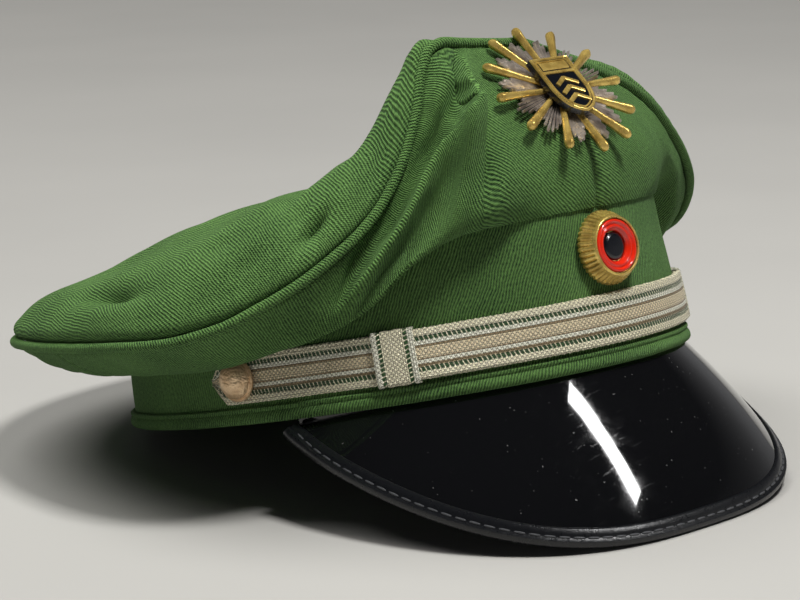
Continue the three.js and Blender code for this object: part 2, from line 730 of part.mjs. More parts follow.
// A loop round both layers of the strap.
function makeSlider(side) {
  const half = SLIDER_WIDTH / 2 / (BAND_LENGTH / 2 - BAND_WALL * 4);
  const turns = [-half, 0, half].map((step) => side * SLIDER_ANGLE + step);
  const depth = 2 * STRAP_WALL + 3 * CLEARANCE;
  const low = STRAP_LOW_EDGE - CLEARANCE;
  const high = STRAP_LOW_EDGE + STRAP_WIDTH + CLEARANCE;
  const rim = SLIDER_RIM;
  const back = CLEARANCE;
  const front = back + 2 * SLIDER_WALL + depth;
  const loop = [
    { inner: [back + SLIDER_WALL, low], outer: [back, low - rim] },
    { inner: [back + SLIDER_WALL + depth, low], outer: [front - rim / 2, low - rim] },
    { inner: [back + SLIDER_WALL + depth, low], outer: [front, low - rim / 2] },
    { inner: [back + SLIDER_WALL + depth, high], outer: [front, high + rim / 2] },
    { inner: [back + SLIDER_WALL + depth, high], outer: [front - rim / 2, high + rim] },
    { inner: [back + SLIDER_WALL, high], outer: [back, high + rim] },
  ];
  const sections = loop.map(({ inner, outer }) => [
    ...turns.map((angle) => offBand(angle, outer[1], outer[0])),
    ...turns.map((angle) => offBand(angle, inner[1], inner[0])).reverse(),
  ]);
  return sweep(sections, true);
}

// Solid of revolution round Z from [radius, height] points that start and end on the axis, or ring
// from a closed profile. flute widens and narrows the radius by turns.
function turned(profile, steps, flute = 0) {
  const sections = Array.from({ length: steps }, (_, i) => {
    const angle = (i / steps) * 2 * Math.PI;
    return profile.map(([radius, height, fluted]) => {
      const wave = fluted ? flute * (i % 2 === 0 ? 1 : -1) : 0;
      const reach = radius + wave;
      return new THREE.Vector3(reach * Math.cos(angle), reach * Math.sin(angle), height);
    });
  });
  return sweep(sections, true);
}

function makeButton() {
  const radius = BUTTON_DIAMETER / 2;
  const rim = 1;
  return turned(
    [
      [0, 0],
      [radius * 0.9, 0],
      [radius, rim * 0.6],
      [radius * 0.96, rim * 1.2],
      [radius * 0.78, BUTTON_HEIGHT * 0.64],
      [radius * 0.45, BUTTON_HEIGHT * 0.92],
      [0, BUTTON_HEIGHT],
    ],
    BUTTON_STEPS,
  );
}

// Places a piece on the band: its +Z points straight out of the cloth.
function placeOnBand(object, angle, height, out) {
  object.position.copy(offBand(angle, height, out));
  const normal = planNormal((a) => bandRing(a, height), angle);
  normal.setZ(Math.tan(BAND_TAPER)).normalize();
  const up = new THREE.Vector3(0, 0, 1).addScaledVector(normal, -normal.z).normalize();
  const across = new THREE.Vector3().crossVectors(up, normal);
  object.setRotationFromMatrix(new THREE.Matrix4().makeBasis(across, up, normal));
  return object;
}

function makeCockade() {
  const base = COCKADE_DIAMETER / 2;
  const disc = COCKADE_DISC_DIAMETER / 2;
  const centre = COCKADE_CENTRE_DIAMETER / 2;
  const bezel = disc + CLEARANCE;
  const flute = COCKADE_FLUTE_DEPTH;
  const rim = turned(
    [
      [0, 0],
      [base - flute, 0, true],
      [base - flute, 0.9, true],
      [(base + bezel) / 2 + 0.6, COCKADE_HEIGHT * 0.72, true],
      [bezel + 0.9, COCKADE_HEIGHT - 0.3],
      [bezel + 0.45, COCKADE_HEIGHT],
      [bezel, COCKADE_HEIGHT - 0.4],
      [bezel, COCKADE_FLOOR],
      [0, COCKADE_FLOOR],
    ],
    COCKADE_FLUTES * 2,
    flute,
  );
  const bed = COCKADE_FLOOR + CLEARANCE;
  const hole = centre + CLEARANCE;
  const ring = turned(
    [
      [hole, bed],
      [disc, bed],
      [disc, COCKADE_HEIGHT - 0.5],
      [disc - 0.7, COCKADE_HEIGHT - 0.1],
      [disc - 1.5, COCKADE_HEIGHT - 0.7],
      [disc - 2.2, COCKADE_HEIGHT - 0.5],
      [hole, COCKADE_HEIGHT - 1.5],
      [hole, COCKADE_HEIGHT - 2],
    ],
    COCKADE_RING_STEPS,
  );
  const button = turned(
    [
      [0, bed],
      [centre, bed],
      [centre, COCKADE_HEIGHT - 2],
      [centre * 0.8, COCKADE_HEIGHT - 1.4],
      [centre * 0.4, COCKADE_HEIGHT - 1.1],
      [0, COCKADE_HEIGHT - 1],
    ],
    COCKADE_CENTRE_STEPS,
  );
  const group = new THREE.Group();
  group.add(
    named('cockade_rim', rim, 'gold'),
    named('cockade_ring', ring, 'red'),
    named('cockade_centre', button, 'black'),
  );
  return placeOnBand(group, 0, COCKADE_LEVEL, CLEARANCE);
}

// Joins closed geometries into one body.
function join(geometries) {
  let body = null;
  for (const geometry of geometries) {
    const clean = tidyGeometry(geometry);
    const mesh = new wasm.Mesh({
      numProp: 3,
      vertProperties: new Float32Array(clean.getAttribute('position').array),
      triVerts: new Uint32Array(clean.getIndex().array),
    });
    const solid = new wasm.Manifold(mesh);
    body = body ? body.add(solid) : solid;
  }
  const result = body.getMesh();
  const geometry = new THREE.BufferGeometry();
  geometry.setAttribute('position', new THREE.Float32BufferAttribute(result.vertProperties, 3));
  geometry.setIndex(Array.from(result.triVerts));
  return geometry;
}

// Plate of short rays: its rim steps in and out, and its face has a ridge on each ray.
function starPlate() {
  const reach = (STAR_DIAMETER / 2) * STAR_PLATE_SHARE;
  const fan = [0.84, 0.94, 0.86, 1, 0.86, 0.94];
  const sections = Array.from({ length: STAR_RAYS * fan.length }, (_, i) => {
    const angle = ((i + 0.5) / (STAR_RAYS * fan.length)) * 2 * Math.PI;
    const out = reach * fan[i % fan.length];
    const ridge = STAR_PLATE_THICKNESS * (i % 2 === 0 ? 0.75 : 1);
    return [
      [0, 0],
      [out, 0],
      [out, ridge * 0.7],
      [0, STAR_PLATE_THICKNESS],
    ].map(([radius, height]) => new THREE.Vector3(
      radius * Math.cos(angle),
      radius * Math.sin(angle),
      height,
    ));
  });
  return sweep(sections, true);
}

// One long ray: a rod that widens a little outwards and ends in a rounded tip.
function starRay(number) {
  const half = STAR_RAY_WIDTH / 2;
  const tip = STAR_DIAMETER / 2;
  const profile = [
    [0, tip * 0.2],
    [half * 0.75, tip * 0.2],
    [half, tip - half],
    [half * 0.7, tip - half * 0.3],
    [0, tip],
  ];
  const rod = turned(profile, 6);
  rod.scale(1, 0.9, 1);
  rod.rotateX(-Math.PI / 2);
  rod.rotateZ((number / STAR_RAYS) * 2 * Math.PI);
  rod.translate(0, 0, STAR_PLATE_THICKNESS * 0.8);
  return rod;
}

function makeStar() {
  const rays = Array.from({ length: STAR_RAYS }, (_, i) => starRay(i));
  return join([starPlate(), ...rays]);
}

// Outline of the shield: a flat top with straight sides that close to a rounded point.
function shieldShape(inset) {
  const half = SHIELD_WIDTH / 2 - inset;
  const top = SHIELD_HEIGHT / 2 - inset;
  const low = -SHIELD_HEIGHT / 2 + inset * 1.2;
  const shape = new THREE.Shape();
  shape.moveTo(-half, top);
  shape.lineTo(-half, top - SHIELD_HEIGHT * 0.55);
  shape.quadraticCurveTo(-half * 0.95, low + SHIELD_HEIGHT * 0.08, 0, low);
  shape.quadraticCurveTo(half * 0.95, low + SHIELD_HEIGHT * 0.08, half, top - SHIELD_HEIGHT * 0.55);
  shape.lineTo(half, top);
  shape.closePath();
  return shape;
}

// The shield: a thick plate with a raised border, a band across its head and two chevrons.
function makeShield() {
  const curveSegments = 5;
  const plate = new THREE.ExtrudeGeometry(shieldShape(0), {
    depth: SHIELD_THICKNESS,
    bevelEnabled: false,
    curveSegments,
  });
  const border = shieldShape(0);
  border.holes.push(shieldShape(SHIELD_BORDER));
  const relief = { depth: SHIELD_RELIEF * 2, bevelEnabled: false, curveSegments };
  const lift = SHIELD_THICKNESS - SHIELD_RELIEF;
  const pieces = [plate, new THREE.ExtrudeGeometry(border, relief).translate(0, 0, lift)];
  const inner = SHIELD_WIDTH / 2 - SHIELD_BORDER * 0.5;
  const head = SHIELD_HEIGHT / 2 - SHIELD_HEIGHT * 0.3;
  const bar = new THREE.BoxGeometry(2 * inner, SHIELD_BORDER, SHIELD_RELIEF * 2);
  pieces.push(bar.translate(0, head, SHIELD_THICKNESS));
  for (const level of [0.02, -0.2]) {
    const peak = level * SHIELD_HEIGHT;
    const fall = SHIELD_HEIGHT * 0.12;
    const reach = inner * 0.62;
    const chevron = new THREE.Shape();
    chevron.moveTo(0, peak);
    chevron.lineTo(reach, peak - fall);
    chevron.lineTo(reach, peak - fall - SHIELD_BORDER);
    chevron.lineTo(0, peak - SHIELD_BORDER);
    chevron.lineTo(-reach, peak - fall - SHIELD_BORDER);
    chevron.lineTo(-reach, peak - fall);
    chevron.closePath();
    pieces.push(new THREE.ExtrudeGeometry(chevron, relief).translate(0, 0, lift));
  }
  return join(pieces);
}

// The badge lies along the front seam. The star's back touches the cloth at a share of the way up
// the seam, and its middle is a little above that place.
function makeBadge() {
  const group = new THREE.Group();
  const star = named('badge_star', makeStar(), 'gold');
  const shield = named('badge_shield', makeShield(), 'gold');
  shield.position.set(0, 0, STAR_PLATE_THICKNESS * 0.8 + STAR_RAY_WIDTH * 0.45 + CLEARANCE);
  group.add(star, shield);
  const normal = sideNormal(0, STAR_TOUCH).setX(0).normalize();
  const upwards = new THREE.Vector3(0, normal.z, -normal.y);
  group.position.copy(sidePoint(0, STAR_TOUCH).setX(0));
  group.position.addScaledVector(normal, CLOTH_WALL / 2 + CLEARANCE);
  group.position.addScaledVector(upwards, STAR_ABOVE);
  group.rotation.x = Math.atan2(upwards.z, upwards.y);
  return group;
}

// The angle and height at which the welt's back and the peak's front both rest on the surface,
// each pressed flat by its own amount.
function restPose(weltBody, bindingBody) {
  const lowest = (geometry, pitch) => {
    const spot = geometry.getAttribute('position');
    let least = Infinity;
    for (let i = 0; i < spot.count; i += 1) {
      least = Math.min(least, spot.getZ(i) * Math.cos(pitch) - spot.getY(i) * Math.sin(pitch));
    }
    return least;
  };
  let low = 0;
  let high = Math.PI / 4;
  for (let i = 0; i < 60; i += 1) {
    const middle = (low + high) / 2;
    const front = lowest(bindingBody, middle) + BINDING_PRESSED;
    if (front < lowest(weltBody, middle) + WELT_PRESSED) low = middle;
    else high = middle;
  }
  const pitch = (low + high) / 2;
  return { pitch, height: -lowest(weltBody, pitch) - WELT_PRESSED };
}

// Presses flat what would reach below the surface that the cap rests on.
function pressFlat(geometry, { pitch, height }) {
  const spot = geometry.getAttribute('position');
  for (let i = 0; i < spot.count; i += 1) {
    const y = spot.getY(i);
    const z = spot.getZ(i);
    const level = z * Math.cos(pitch) - y * Math.sin(pitch) + height;
    if (level < 0) spot.setXYZ(i, spot.getX(i), y + level * Math.sin(pitch), z - level * Math.cos(pitch));
  }
}

const welt = makeWelt();
const binding = makeBinding();
const rest = restPose(welt, binding);
pressFlat(welt, rest);
pressFlat(binding, rest);

const cap = new THREE.Group();
cap.add(
  named('crown_top', makeCrownTop(), 'cloth'),
  named('side_front_right', makeSidePanel(0, SIDE_SEAM_ANGLE, 1), 'cloth'),
  named('side_front_left', makeSidePanel(0, SIDE_SEAM_ANGLE, -1), 'cloth'),
  named('side_rear_right', makeSidePanel(SIDE_SEAM_ANGLE, Math.PI, 1), 'cloth'),
  named('side_rear_left', makeSidePanel(SIDE_SEAM_ANGLE, Math.PI, -1), 'cloth'),
  named('crown_piping', makePiping(), 'piping'),
  named('band', makeBand(), 'cloth'),
  named('lower_welt', welt, 'piping'),
  named('peak', makePeak(), 'patent'),
  named('peak_binding', binding, 'binding'),
  named('chin_strap', makeStrap(), 'braid'),
  named('chin_strap_upper', makeUpperStrap(), 'braid'),
  named('slider_right', makeSlider(1), 'braid'),
  named('slider_left', makeSlider(-1), 'braid'),
);
for (const [name, side] of [['button_right', 1], ['button_left', -1]]) {
  const seat = strapLift(BUTTON_ANGLE) + STRAP_WALL + CLEARANCE;
  cap.add(placeOnBand(named(name, makeButton(), 'gold'), side * BUTTON_ANGLE, STRAP_MIDDLE, seat));
}
cap.add(makeCockade(), makeBadge());
cap.rotation.x = -rest.pitch;
cap.position.z = rest.height;

// The origin is moved to the middle of the underside of the whole cap's box.
const part = new THREE.Group();
part.add(cap);
part.updateMatrixWorld(true);
const box = new THREE.Box3().setFromObject(part, true);
cap.position.x -= (box.min.x + box.max.x) / 2;
cap.position.y -= (box.min.y + box.max.y) / 2;

export default part;
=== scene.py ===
"""A peaked uniform cap with its fine surfaces and finishes, on a pale floor.

The cap's own frame is in millimetres: the origin in the middle of the band's lower edge, the front
towards -Y, the wearer's right towards -X. world() takes it to the row frame, where the cap rests.
"""

import math

import bmesh
import bpy
import numpy as np
from mathutils import Matrix

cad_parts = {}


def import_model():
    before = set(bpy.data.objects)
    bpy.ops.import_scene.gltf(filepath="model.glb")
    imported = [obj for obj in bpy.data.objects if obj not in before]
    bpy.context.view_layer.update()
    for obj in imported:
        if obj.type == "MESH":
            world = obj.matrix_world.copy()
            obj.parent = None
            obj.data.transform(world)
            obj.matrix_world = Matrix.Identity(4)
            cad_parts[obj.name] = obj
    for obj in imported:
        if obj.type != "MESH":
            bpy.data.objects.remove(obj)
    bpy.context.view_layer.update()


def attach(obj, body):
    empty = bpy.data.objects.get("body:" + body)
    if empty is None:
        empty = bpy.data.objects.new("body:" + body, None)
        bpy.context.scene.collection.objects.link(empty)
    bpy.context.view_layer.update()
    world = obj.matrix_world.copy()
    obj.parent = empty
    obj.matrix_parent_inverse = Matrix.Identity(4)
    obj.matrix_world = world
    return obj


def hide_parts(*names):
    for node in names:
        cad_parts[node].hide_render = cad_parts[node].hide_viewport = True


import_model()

# Sizes of the solids, in millimetres.
BAND_LENGTH, BAND_WIDTH, BAND_HEIGHT, BAND_WALL = 206.0, 165.6, 48.0, 2.0
BAND_TAPER = math.radians(3.3)
BAND_EGG = 0.04
CROWN_WIDTH, CROWN_FRONT_REACH, CROWN_REAR_REACH = 236.0, 76.5, 124.0
CROWN_SQUARENESS, CROWN_HEIGHT, TOP_ROLL = 2.3, 104.5, 3.6
CLOTH_WALL, PIPING_RADIUS, PIPING_OUT, PIPING_SEAT, SEAM_LIFT = 1.5, 1.6, 0.5, 1.28, 0.8
SIDE_SEAM = 104.0  # degrees from the front
PEAK_WIDTH, PEAK_REACH, PEAK_ROOT, PEAK_DROP = 164.0, 87.0, 35.8, 50.0
PEAK_ROUND_ACROSS, PEAK_ROUND_ALONG, PEAK_ROUND_DOWN = 0.725, 0.917, 0.756
PEAK_WALL, PEAK_BULGE, PEAK_GAP, PEAK_END_ANGLE, PEAK_END_SINK, PEAK_END_HOLD = 1.8, 2.05, 0.35, 65.6, 1.5, 30
BINDING_OUT = 2.05
STRAP_WIDTH, STRAP_LOW, STRAP_END, STRAP_POINT = 15.0, 6.6, 86.3, 5.5
SLIDER_ANGLE, SLIDER_WIDTH, SLIDER_WALL = 42.0, 12.7, 0.6
BUTTON_ANGLE, COCKADE_LEVEL = 78.1, 35.0
STAR_RADIUS, STAR_RAYS = 26.0, 12
SHIELD_WIDTH, SHIELD_HEIGHT = 15.8, 22.6

# How the cap rests: its pitch and where its own origin lies in the row frame, in millimetres.
PITCH = math.radians(12.944714)
REST = np.array([0.00002, 0.97091, 22.47064])
UP = np.array([0, 0, 1.0])
SIDES = ((1, "right"), (-1, "left"))

# The side panels at angles from the front, in degrees: height of the crown's edge as a share of
# CROWN_HEIGHT; direction in degrees and reach as a share of BAND_HEIGHT of the cloth as it leaves
# the band; the same as it arrives at the piping.
REAR = [
    # at, edge, rise, swell, lean, tuck
    (106, 0.32, -79, 0.9, 41, 0.23),
    (121, 0.336, -78, 0.88, 44, 0.22),
    (150, 0.35, -74, 0.84, 44, 0.23),
    (180, 0.36, -72, 0.8, 44, 0.23),
]
RIGHT_SIDE = np.array([
    (0, 0.972, 66, 0.46, 127, 0.46),
    (8, 0.98, 66, 0.46, 126, 0.46),
    (15, 0.991, 47, 0.45, 122, 0.46),
    (20, 1, 16, 0.45, 116, 0.44),
    (23.5, 0.985, -2, 0.46, 112, 0.42),
    (26.5, 0.92, -10, 0.48, 110, 0.38),
    (29, 0.82, -21, 0.51, 108, 0.34),
    (32, 0.73, -31, 0.54, 105, 0.3),
    (35, 0.655, -39, 0.58, 100, 0.27),
    (40, 0.56, -56, 0.68, 90, 0.25),
    (44, 0.505, -67, 0.77, 76, 0.25),
    (48, 0.46, -74, 0.84, 64, 0.26),
    (55, 0.392, -79, 0.88, 48, 0.3),
    (61, 0.347, -79, 0.89, 35, 0.34),
    (68, 0.305, -79, 0.9, 28, 0.37),
    (76, 0.288, -80, 0.91, 30, 0.34),
    (86, 0.298, -80, 0.92, 35, 0.28),
    *REAR,
])
LEFT_SIDE = np.array([
    (0, 0.972, 66, 0.46, 127, 0.46),
    (10, 0.935, 66, 0.46, 125, 0.45),
    (22, 0.875, 64, 0.44, 120, 0.42),
    (34, 0.814, 60, 0.42, 112, 0.38),
    (44, 0.731, 50, 0.4, 102, 0.34),
    (51, 0.647, 34, 0.4, 92, 0.32),
    (58, 0.563, 8, 0.44, 80, 0.3),
    (63, 0.5, -20, 0.54, 66, 0.3),
    (69, 0.44, -50, 0.7, 50, 0.34),
    (75, 0.378, -68, 0.82, 34, 0.38),
    (80, 0.335, -76, 0.88, 31, 0.34),
    (86, 0.308, -80, 0.92, 35, 0.28),
    *REAR,
])

# The top panel's height from front to rear: share of the way, share of CROWN_HEIGHT.
TOP_LINE = np.array([
    (0, 0.972), (0.08, 0.852), (0.18, 0.743), (0.28, 0.671), (0.38, 0.637),
    (0.53, 0.612), (0.68, 0.599), (0.83, 0.56), (1, 0.5),
])

# The right side panel's crease: degrees, level between band and piping, depth as a share of
# BAND_HEIGHT.
SIDE_FOLD = np.array([
    (12, 0.95, 0), (17, 0.9, 0.06), (19, 0.79, 0.11), (22, 0.72, 0.17), (26, 0.67, 0.24),
    (29, 0.72, 0.26), (33, 0.83, 0.28), (37, 0.87, 0.29), (42, 0.87, 0.25), (46, 0.8, 0.16),
    (53, 0.6, 0),
])
# Its half widths as levels, and the power that ends it at the piping. Then its ridge and the lap of
# the cloth over it: size as a share of its depth, place and half width in its own half widths. The
# lap sets in at LAP_FROM degrees, over LAP_OVER more.
FOLD_ABOVE, FOLD_BELOW, FOLD_HOLD = 0.034, 0.16, 12
FOLD_RIDGE, RIDGE_AT, RIDGE_WIDE = 0.45, 3, 1.6
FOLD_LAP, LAP_AT, LAP_WIDE, LAP_FROM, LAP_OVER = 0.36, 1.5, 1.3, 21, 5

# Dents and puffs of the top panel: degrees, share of the way out, half widths of both, depth as a
# share of BAND_HEIGHT. DENT_HOLD is the power that ends them at the piping.
DENT_HOLD = 80
TOP_DENTS = [
    (29, 0.867, 8, 0.17, -0.154),
    (54, 0.57, 10.7, 0.25, 0.165),
    (80, 0.66, 10, 0.3, 0.06),
    (112, 0.76, 24, 0.16, 0.12),
    (140, 0.7, 14, 0.2, 0.08),
]
# Small dents in the top panel: degrees, distance from the piping, their widths both ways in
# degrees and millimetres, and depth in millimetres.
ROLL_DENTS = [
    (51.5, 11, 2.8, 3.6, 5.2),
    (46.5, 12, 2.4, 7, -1.5),
    (54, 21, 2.4, 6, 3.4),
    (58, 33, 2.6, 9, 2.8),
    (90, 16.5, 8, 3.8, 5),
    (90, 8.5, 10, 3, -0.9),
    (68, 26, 3, 5, 1.8),
    (62, 13.5, 2.6, 3.5, 1.3),
    (43, 31, 2.5, 5, 2.2),
    (39, 11.5, 2.2, 6, 1.3),
]


def column(rows, i, place):
    """A table's column at places between its rows, smooth, without overshoot, level at the ends."""
    x, y = rows[:, 0], rows[:, i]
    slope = np.diff(y) / np.diff(x)
    tangent = np.zeros(len(x))
    before, after = slope[:-1], slope[1:]
    same = before * after > 0
    tangent[1:-1][same] = 2 * before[same] * after[same] / (before[same] + after[same])
    place = np.clip(place, x[0], x[-1])
    k = np.clip(np.searchsorted(x, place, side="right") - 1, 0, len(x) - 2)
    span = x[k + 1] - x[k]
    s = (place - x[k]) / span
    return (
        y[k] * (1 + 2 * s) * (1 - s) ** 2 + y[k + 1] * s * s * (3 - 2 * s)
        + tangent[k] * span * s * (1 - s) ** 2 - tangent[k + 1] * span * s * s * (1 - s)
    )


def vec(*parts):
    return np.stack(np.broadcast_arrays(*parts), -1).astype(float)


def unit(v):
    return v / np.maximum(np.linalg.norm(v, axis=-1, keepdims=True), 1e-12)


def dot(a, b):
    return (a * b).sum(-1)[..., None]


def world(points):
    """Cap frame in millimetres to row frame in metres."""
    c, s = math.cos(PITCH), math.sin(PITCH)
    x, y, z = points[..., 0], points[..., 1], points[..., 2]
    return (vec(x, y * c + z * s, z * c - y * s) + REST) / 1000


def above_floor(points):
    """The points, with those that lie below the floor lifted to it."""
    level = points[..., 2] * math.cos(PITCH) - points[..., 1] * math.sin(PITCH) + REST[2]
    points[..., 2] += np.maximum(0, -level)
    return points


def uneven(points, size, seed, waves=8):
    """Smooth unevenness between about -1 and 1, its bumps about size millimetres apart."""
    rng = np.random.default_rng(seed)
    total = 0.0
    for _ in range(waves):
        wave = unit(rng.normal(size=3)) * 2 * np.pi / size * rng.uniform(0.6, 1.5)
        total = total + np.sin(points @ wave + rng.uniform(0, 2 * np.pi))
    return total / (waves / 2)


def bell(away):
    return np.exp(-away * away)


def full_turn(steps, start=0.0):
    return np.linspace(start, start + 2 * math.pi, steps, endpoint=False)


# Band and crown

def plan_normal(curve, angle):
    """Outward normal of a plan curve."""
    along = curve(angle + 0.001) - curve(angle - 0.001)
    return unit(vec(-along[..., 1], along[..., 0], 0))


def band_ring(angle, height):
    inset = height * math.tan(BAND_TAPER)
    half_width, half_length = BAND_WIDTH / 2 - inset, BAND_LENGTH / 2 - inset
    turn = np.arctan2(np.sin(angle) / half_width, np.cos(angle) / half_length)
    egg = 1 - BAND_EGG * np.cos(turn)
    return vec(-half_width * np.sin(turn) * egg, -half_length * np.cos(turn), height)


def band_out(angle, height=0.0):
    """Direction out of the band, level."""
    return plan_normal(lambda a: band_ring(a, height), angle)


def off_band(angle, height, out):
    angle, height, out = np.broadcast_arrays(angle, height, out)
    return band_ring(angle, height) + band_out(angle, height) * out[..., None]


def side_at(angle, i):
    degrees = np.abs(np.degrees(angle))
    return np.where(angle >= 0, column(RIGHT_SIDE, i, degrees), column(LEFT_SIDE, i, degrees))


def crown_plan(angle):
    reach = np.where(np.cos(angle) > 0, CROWN_FRONT_REACH, CROWN_REAR_REACH)
    across = np.abs(np.sin(angle) / (CROWN_WIDTH / 2)) ** CROWN_SQUARENESS
    along = np.abs(np.cos(angle) / reach) ** CROWN_SQUARENESS
    size = (across + along) ** (-1 / CROWN_SQUARENESS)
    return vec(-np.sin(angle) * size, -np.cos(angle) * size, 0)


def crown_edge(angle):
    point = crown_plan(angle)
    point[..., 2] = side_at(angle, 1) * CROWN_HEIGHT
    return point


def side_point(angle, level):
    """Point of the side panels' middle layer, from the band's top edge (0) to the piping (1)."""
    angle, level = np.broadcast_arrays(np.asarray(angle, float), np.asarray(level, float))
    below, above = band_out(angle, BAND_HEIGHT), plan_normal(crown_plan, angle)
    rise, lean = np.radians(side_at(angle, 2)), np.radians(side_at(angle, 4))
    climb = np.maximum(0, np.sin(rise))
    start = band_ring(angle, BAND_HEIGHT) + below * (SEAM_LIFT * (1 - climb))[..., None]
    leaving = below * np.cos(rise)[..., None] + UP * np.sin(rise)[..., None]
    arriving = above * np.cos(lean)[..., None] + UP * np.sin(lean)[..., None]
    along = unit(crown_edge(angle + 0.01) - crown_edge(angle - 0.01))
    arriving = unit(arriving - along * dot(arriving, along))
    stop = crown_edge(angle) - arriving * PIPING_SEAT
    first = start + leaving * (side_at(angle, 3) * BAND_HEIGHT)[..., None]
    second = stop - arriving * (side_at(angle, 5) * BAND_HEIGHT)[..., None]
    t = level[..., None]
    point = (
        start * (1 - t) ** 3 + first * 3 * t * (1 - t) ** 2
        + second * 3 * t * t * (1 - t) + stop * t ** 3
    )
    tangent = unit(
        (first - start) * (1 - t) ** 2 + (second - first) * 2 * t * (1 - t) + (stop - second) * t * t
    )
    inward = unit(np.cross(vec(-above[..., 1], above[..., 0], 0), tangent))
    place = np.degrees(angle)
    away = level - column(SIDE_FOLD, 1, place)
    away = np.where(away > 0, away / FOLD_ABOVE, away / FOLD_BELOW)
    deep = column(SIDE_FOLD, 2, place) * BAND_HEIGHT * (1 - level ** FOLD_HOLD)
    fold = deep * (bell(away) - FOLD_RIDGE * bell((away - RIDGE_AT) / RIDGE_WIDE))
    lap = deep * FOLD_LAP * bell((away - LAP_AT) / LAP_WIDE)
    lap = lap * np.clip((place - LAP_FROM) / LAP_OVER, 0, 1)
    return point + inward * fold[..., None] - tangent * lap[..., None]


def top_point(angle, share):
    """Point of the top panel's middle layer, from its middle (0) to the crown's edge (1)."""
    angle, share = np.broadcast_arrays(np.asarray(angle, float), np.asarray(share, float))
    edge = crown_edge(angle)
    drop = 1 - np.sqrt(np.maximum(0, 1 - share ** TOP_ROLL))
    along = (edge[..., 1] * share + CROWN_FRONT_REACH) / (CROWN_FRONT_REACH + CROWN_REAR_REACH)
    line = column(TOP_LINE, 1, along) * CROWN_HEIGHT
    dent = 0.0
    for at, way, wide, high, depth in TOP_DENTS:
        near = ((np.degrees(angle) - at) / wide) ** 2 + ((share - way) / high) ** 2
        dent = dent + depth * BAND_HEIGHT * np.exp(-near) * (1 - share ** DENT_HOLD)
    return vec(edge[..., 0] * share, edge[..., 1] * share, line + (edge[..., 2] - line) * drop - dent)


# Peak

def peak_level(turn):
    """Level of the peak's root, which sinks at both ends."""
    return -PEAK_GAP - PEAK_WALL / 2 - PEAK_END_SINK * np.abs(np.sin(turn)) ** PEAK_END_HOLD


def peak_edge(turn):
    s, c = np.sin(turn), np.abs(np.cos(turn)) + 1e-9
    return vec(
        -PEAK_WIDTH / 2 * np.sign(s) * np.abs(s) ** PEAK_ROUND_ACROSS,
        -PEAK_ROOT - PEAK_REACH * c ** PEAK_ROUND_ALONG,
        peak_level(turn) - PEAK_DROP * c ** PEAK_ROUND_DOWN,
    )


def peak_root(turn):
    angle = turn / (math.pi / 2) * math.radians(PEAK_END_ANGLE)
    point = off_band(angle, 0.0, -BAND_WALL / 2)
    point[..., 2] = peak_level(turn)
    return point


def peak_point(turn, share):
    """Point of the peak's middle layer from its root (0) to its edge (1)."""
    turn, share = np.broadcast_arrays(np.asarray(turn, float), np.asarray(share, float))
    outward = vec(-np.sin(turn), -np.cos(turn), 0)
    swell = PEAK_BULGE * np.cos(turn) * 4 * share * (1 - share)
    root, edge = peak_root(turn), peak_edge(turn)
    return root + (edge - root) * share[..., None] + outward * swell[..., None]


def along_peak(turn, line, step=0.01):
    """Way along a line of the peak at an angle, also at the peak's ends."""
    limit = math.pi / 2
    return line(np.minimum(turn + step, limit)) - line(np.maximum(turn - step, -limit))


def peak_normal(turn, share, step=0.01):
    inward = peak_point(turn, share - step)
    return unit(np.cross(
        along_peak(turn, lambda a: peak_point(a, share)), peak_point(turn, share + step) - inward
    ))


def peak_share(turn, before):
    """Share from root to edge that lies a distance before the edge, square to it."""
    along, row = unit(along_peak(turn, peak_edge)), peak_edge(turn) - peak_root(turn)
    return 1 - before / np.linalg.norm(row - along * dot(row, along), axis=-1)


# Meshes

def show(name, data):
    shown = bpy.data.objects.new(name, data)
    bpy.context.scene.collection.objects.link(shown)
    return shown


def matrix(right, up, back, place):
    return Matrix([[right[k], up[k], back[k], place[k]] for k in range(3)] + [[0, 0, 0, 1]])


def outward(points, quads):
    """The same faces, turned so that the closed body's faces look outwards."""
    a, b, c, d = (points[quads[:, k]] for k in range(4))
    volume = (np.cross(b - a, c - a) * a).sum() + (np.cross(c - a, d - a) * a).sum()
    return quads if volume >= 0 else quads[:, ::-1]


def build(name, points, quads, finishes, uv=None, weld=False, crease=45, finish_at=None):
    """A piece from points in the cap frame, four-cornered faces and, in millimetres, a place on the
    material for every corner of every face."""
    turned = outward(points, quads)
    if uv is not None and turned is not quads:
        uv = uv[:, ::-1]
    mesh = bpy.data.meshes.new(name)
    mesh.from_pydata(world(points).tolist(), [], turned.tolist())
    if uv is not None:
        layer = mesh.uv_layers.new(name="cloth")
        layer.data.foreach_set("uv", np.ascontiguousarray(uv, np.float32).ravel())
    for finish in finishes if isinstance(finishes, (list, tuple)) else [finishes]:
        mesh.materials.append(finish)
    if finish_at is not None:
        mesh.polygons.foreach_set("material_index", np.asarray(finish_at, np.int32))
    if weld:
        work = bmesh.new()
        work.from_mesh(mesh)
        bmesh.ops.remove_doubles(work, verts=work.verts, dist=2e-6)
        bmesh.ops.dissolve_degenerate(work, dist=1e-6, edges=work.edges)
        work.to_mesh(mesh)
        work.free()
    mesh.shade_smooth()
    mesh.set_sharp_from_angle(angle=math.radians(crease))
    piece = show(name, mesh)
    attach(piece, "root")
    return piece


def grid_quads(n, m, closed):
    """Faces of an n by m grid of points, closed or open along n. Then their corners' places on the
    material, whose grid has one row more where it's closed."""
    i, j = np.meshgrid(np.arange(n if closed else n - 1), np.arange(m - 1), indexing="ij")
    after = (i + 1) % n
    quads = np.stack([i * m + j, after * m + j, after * m + j + 1, i * m + j + 1], -1)
    places = np.stack([i * m + j, (i + 1) * m + j, (i + 1) * m + j + 1, i * m + j + 1], -1)
    return quads.reshape(-1, 4), places.reshape(-1, 4)


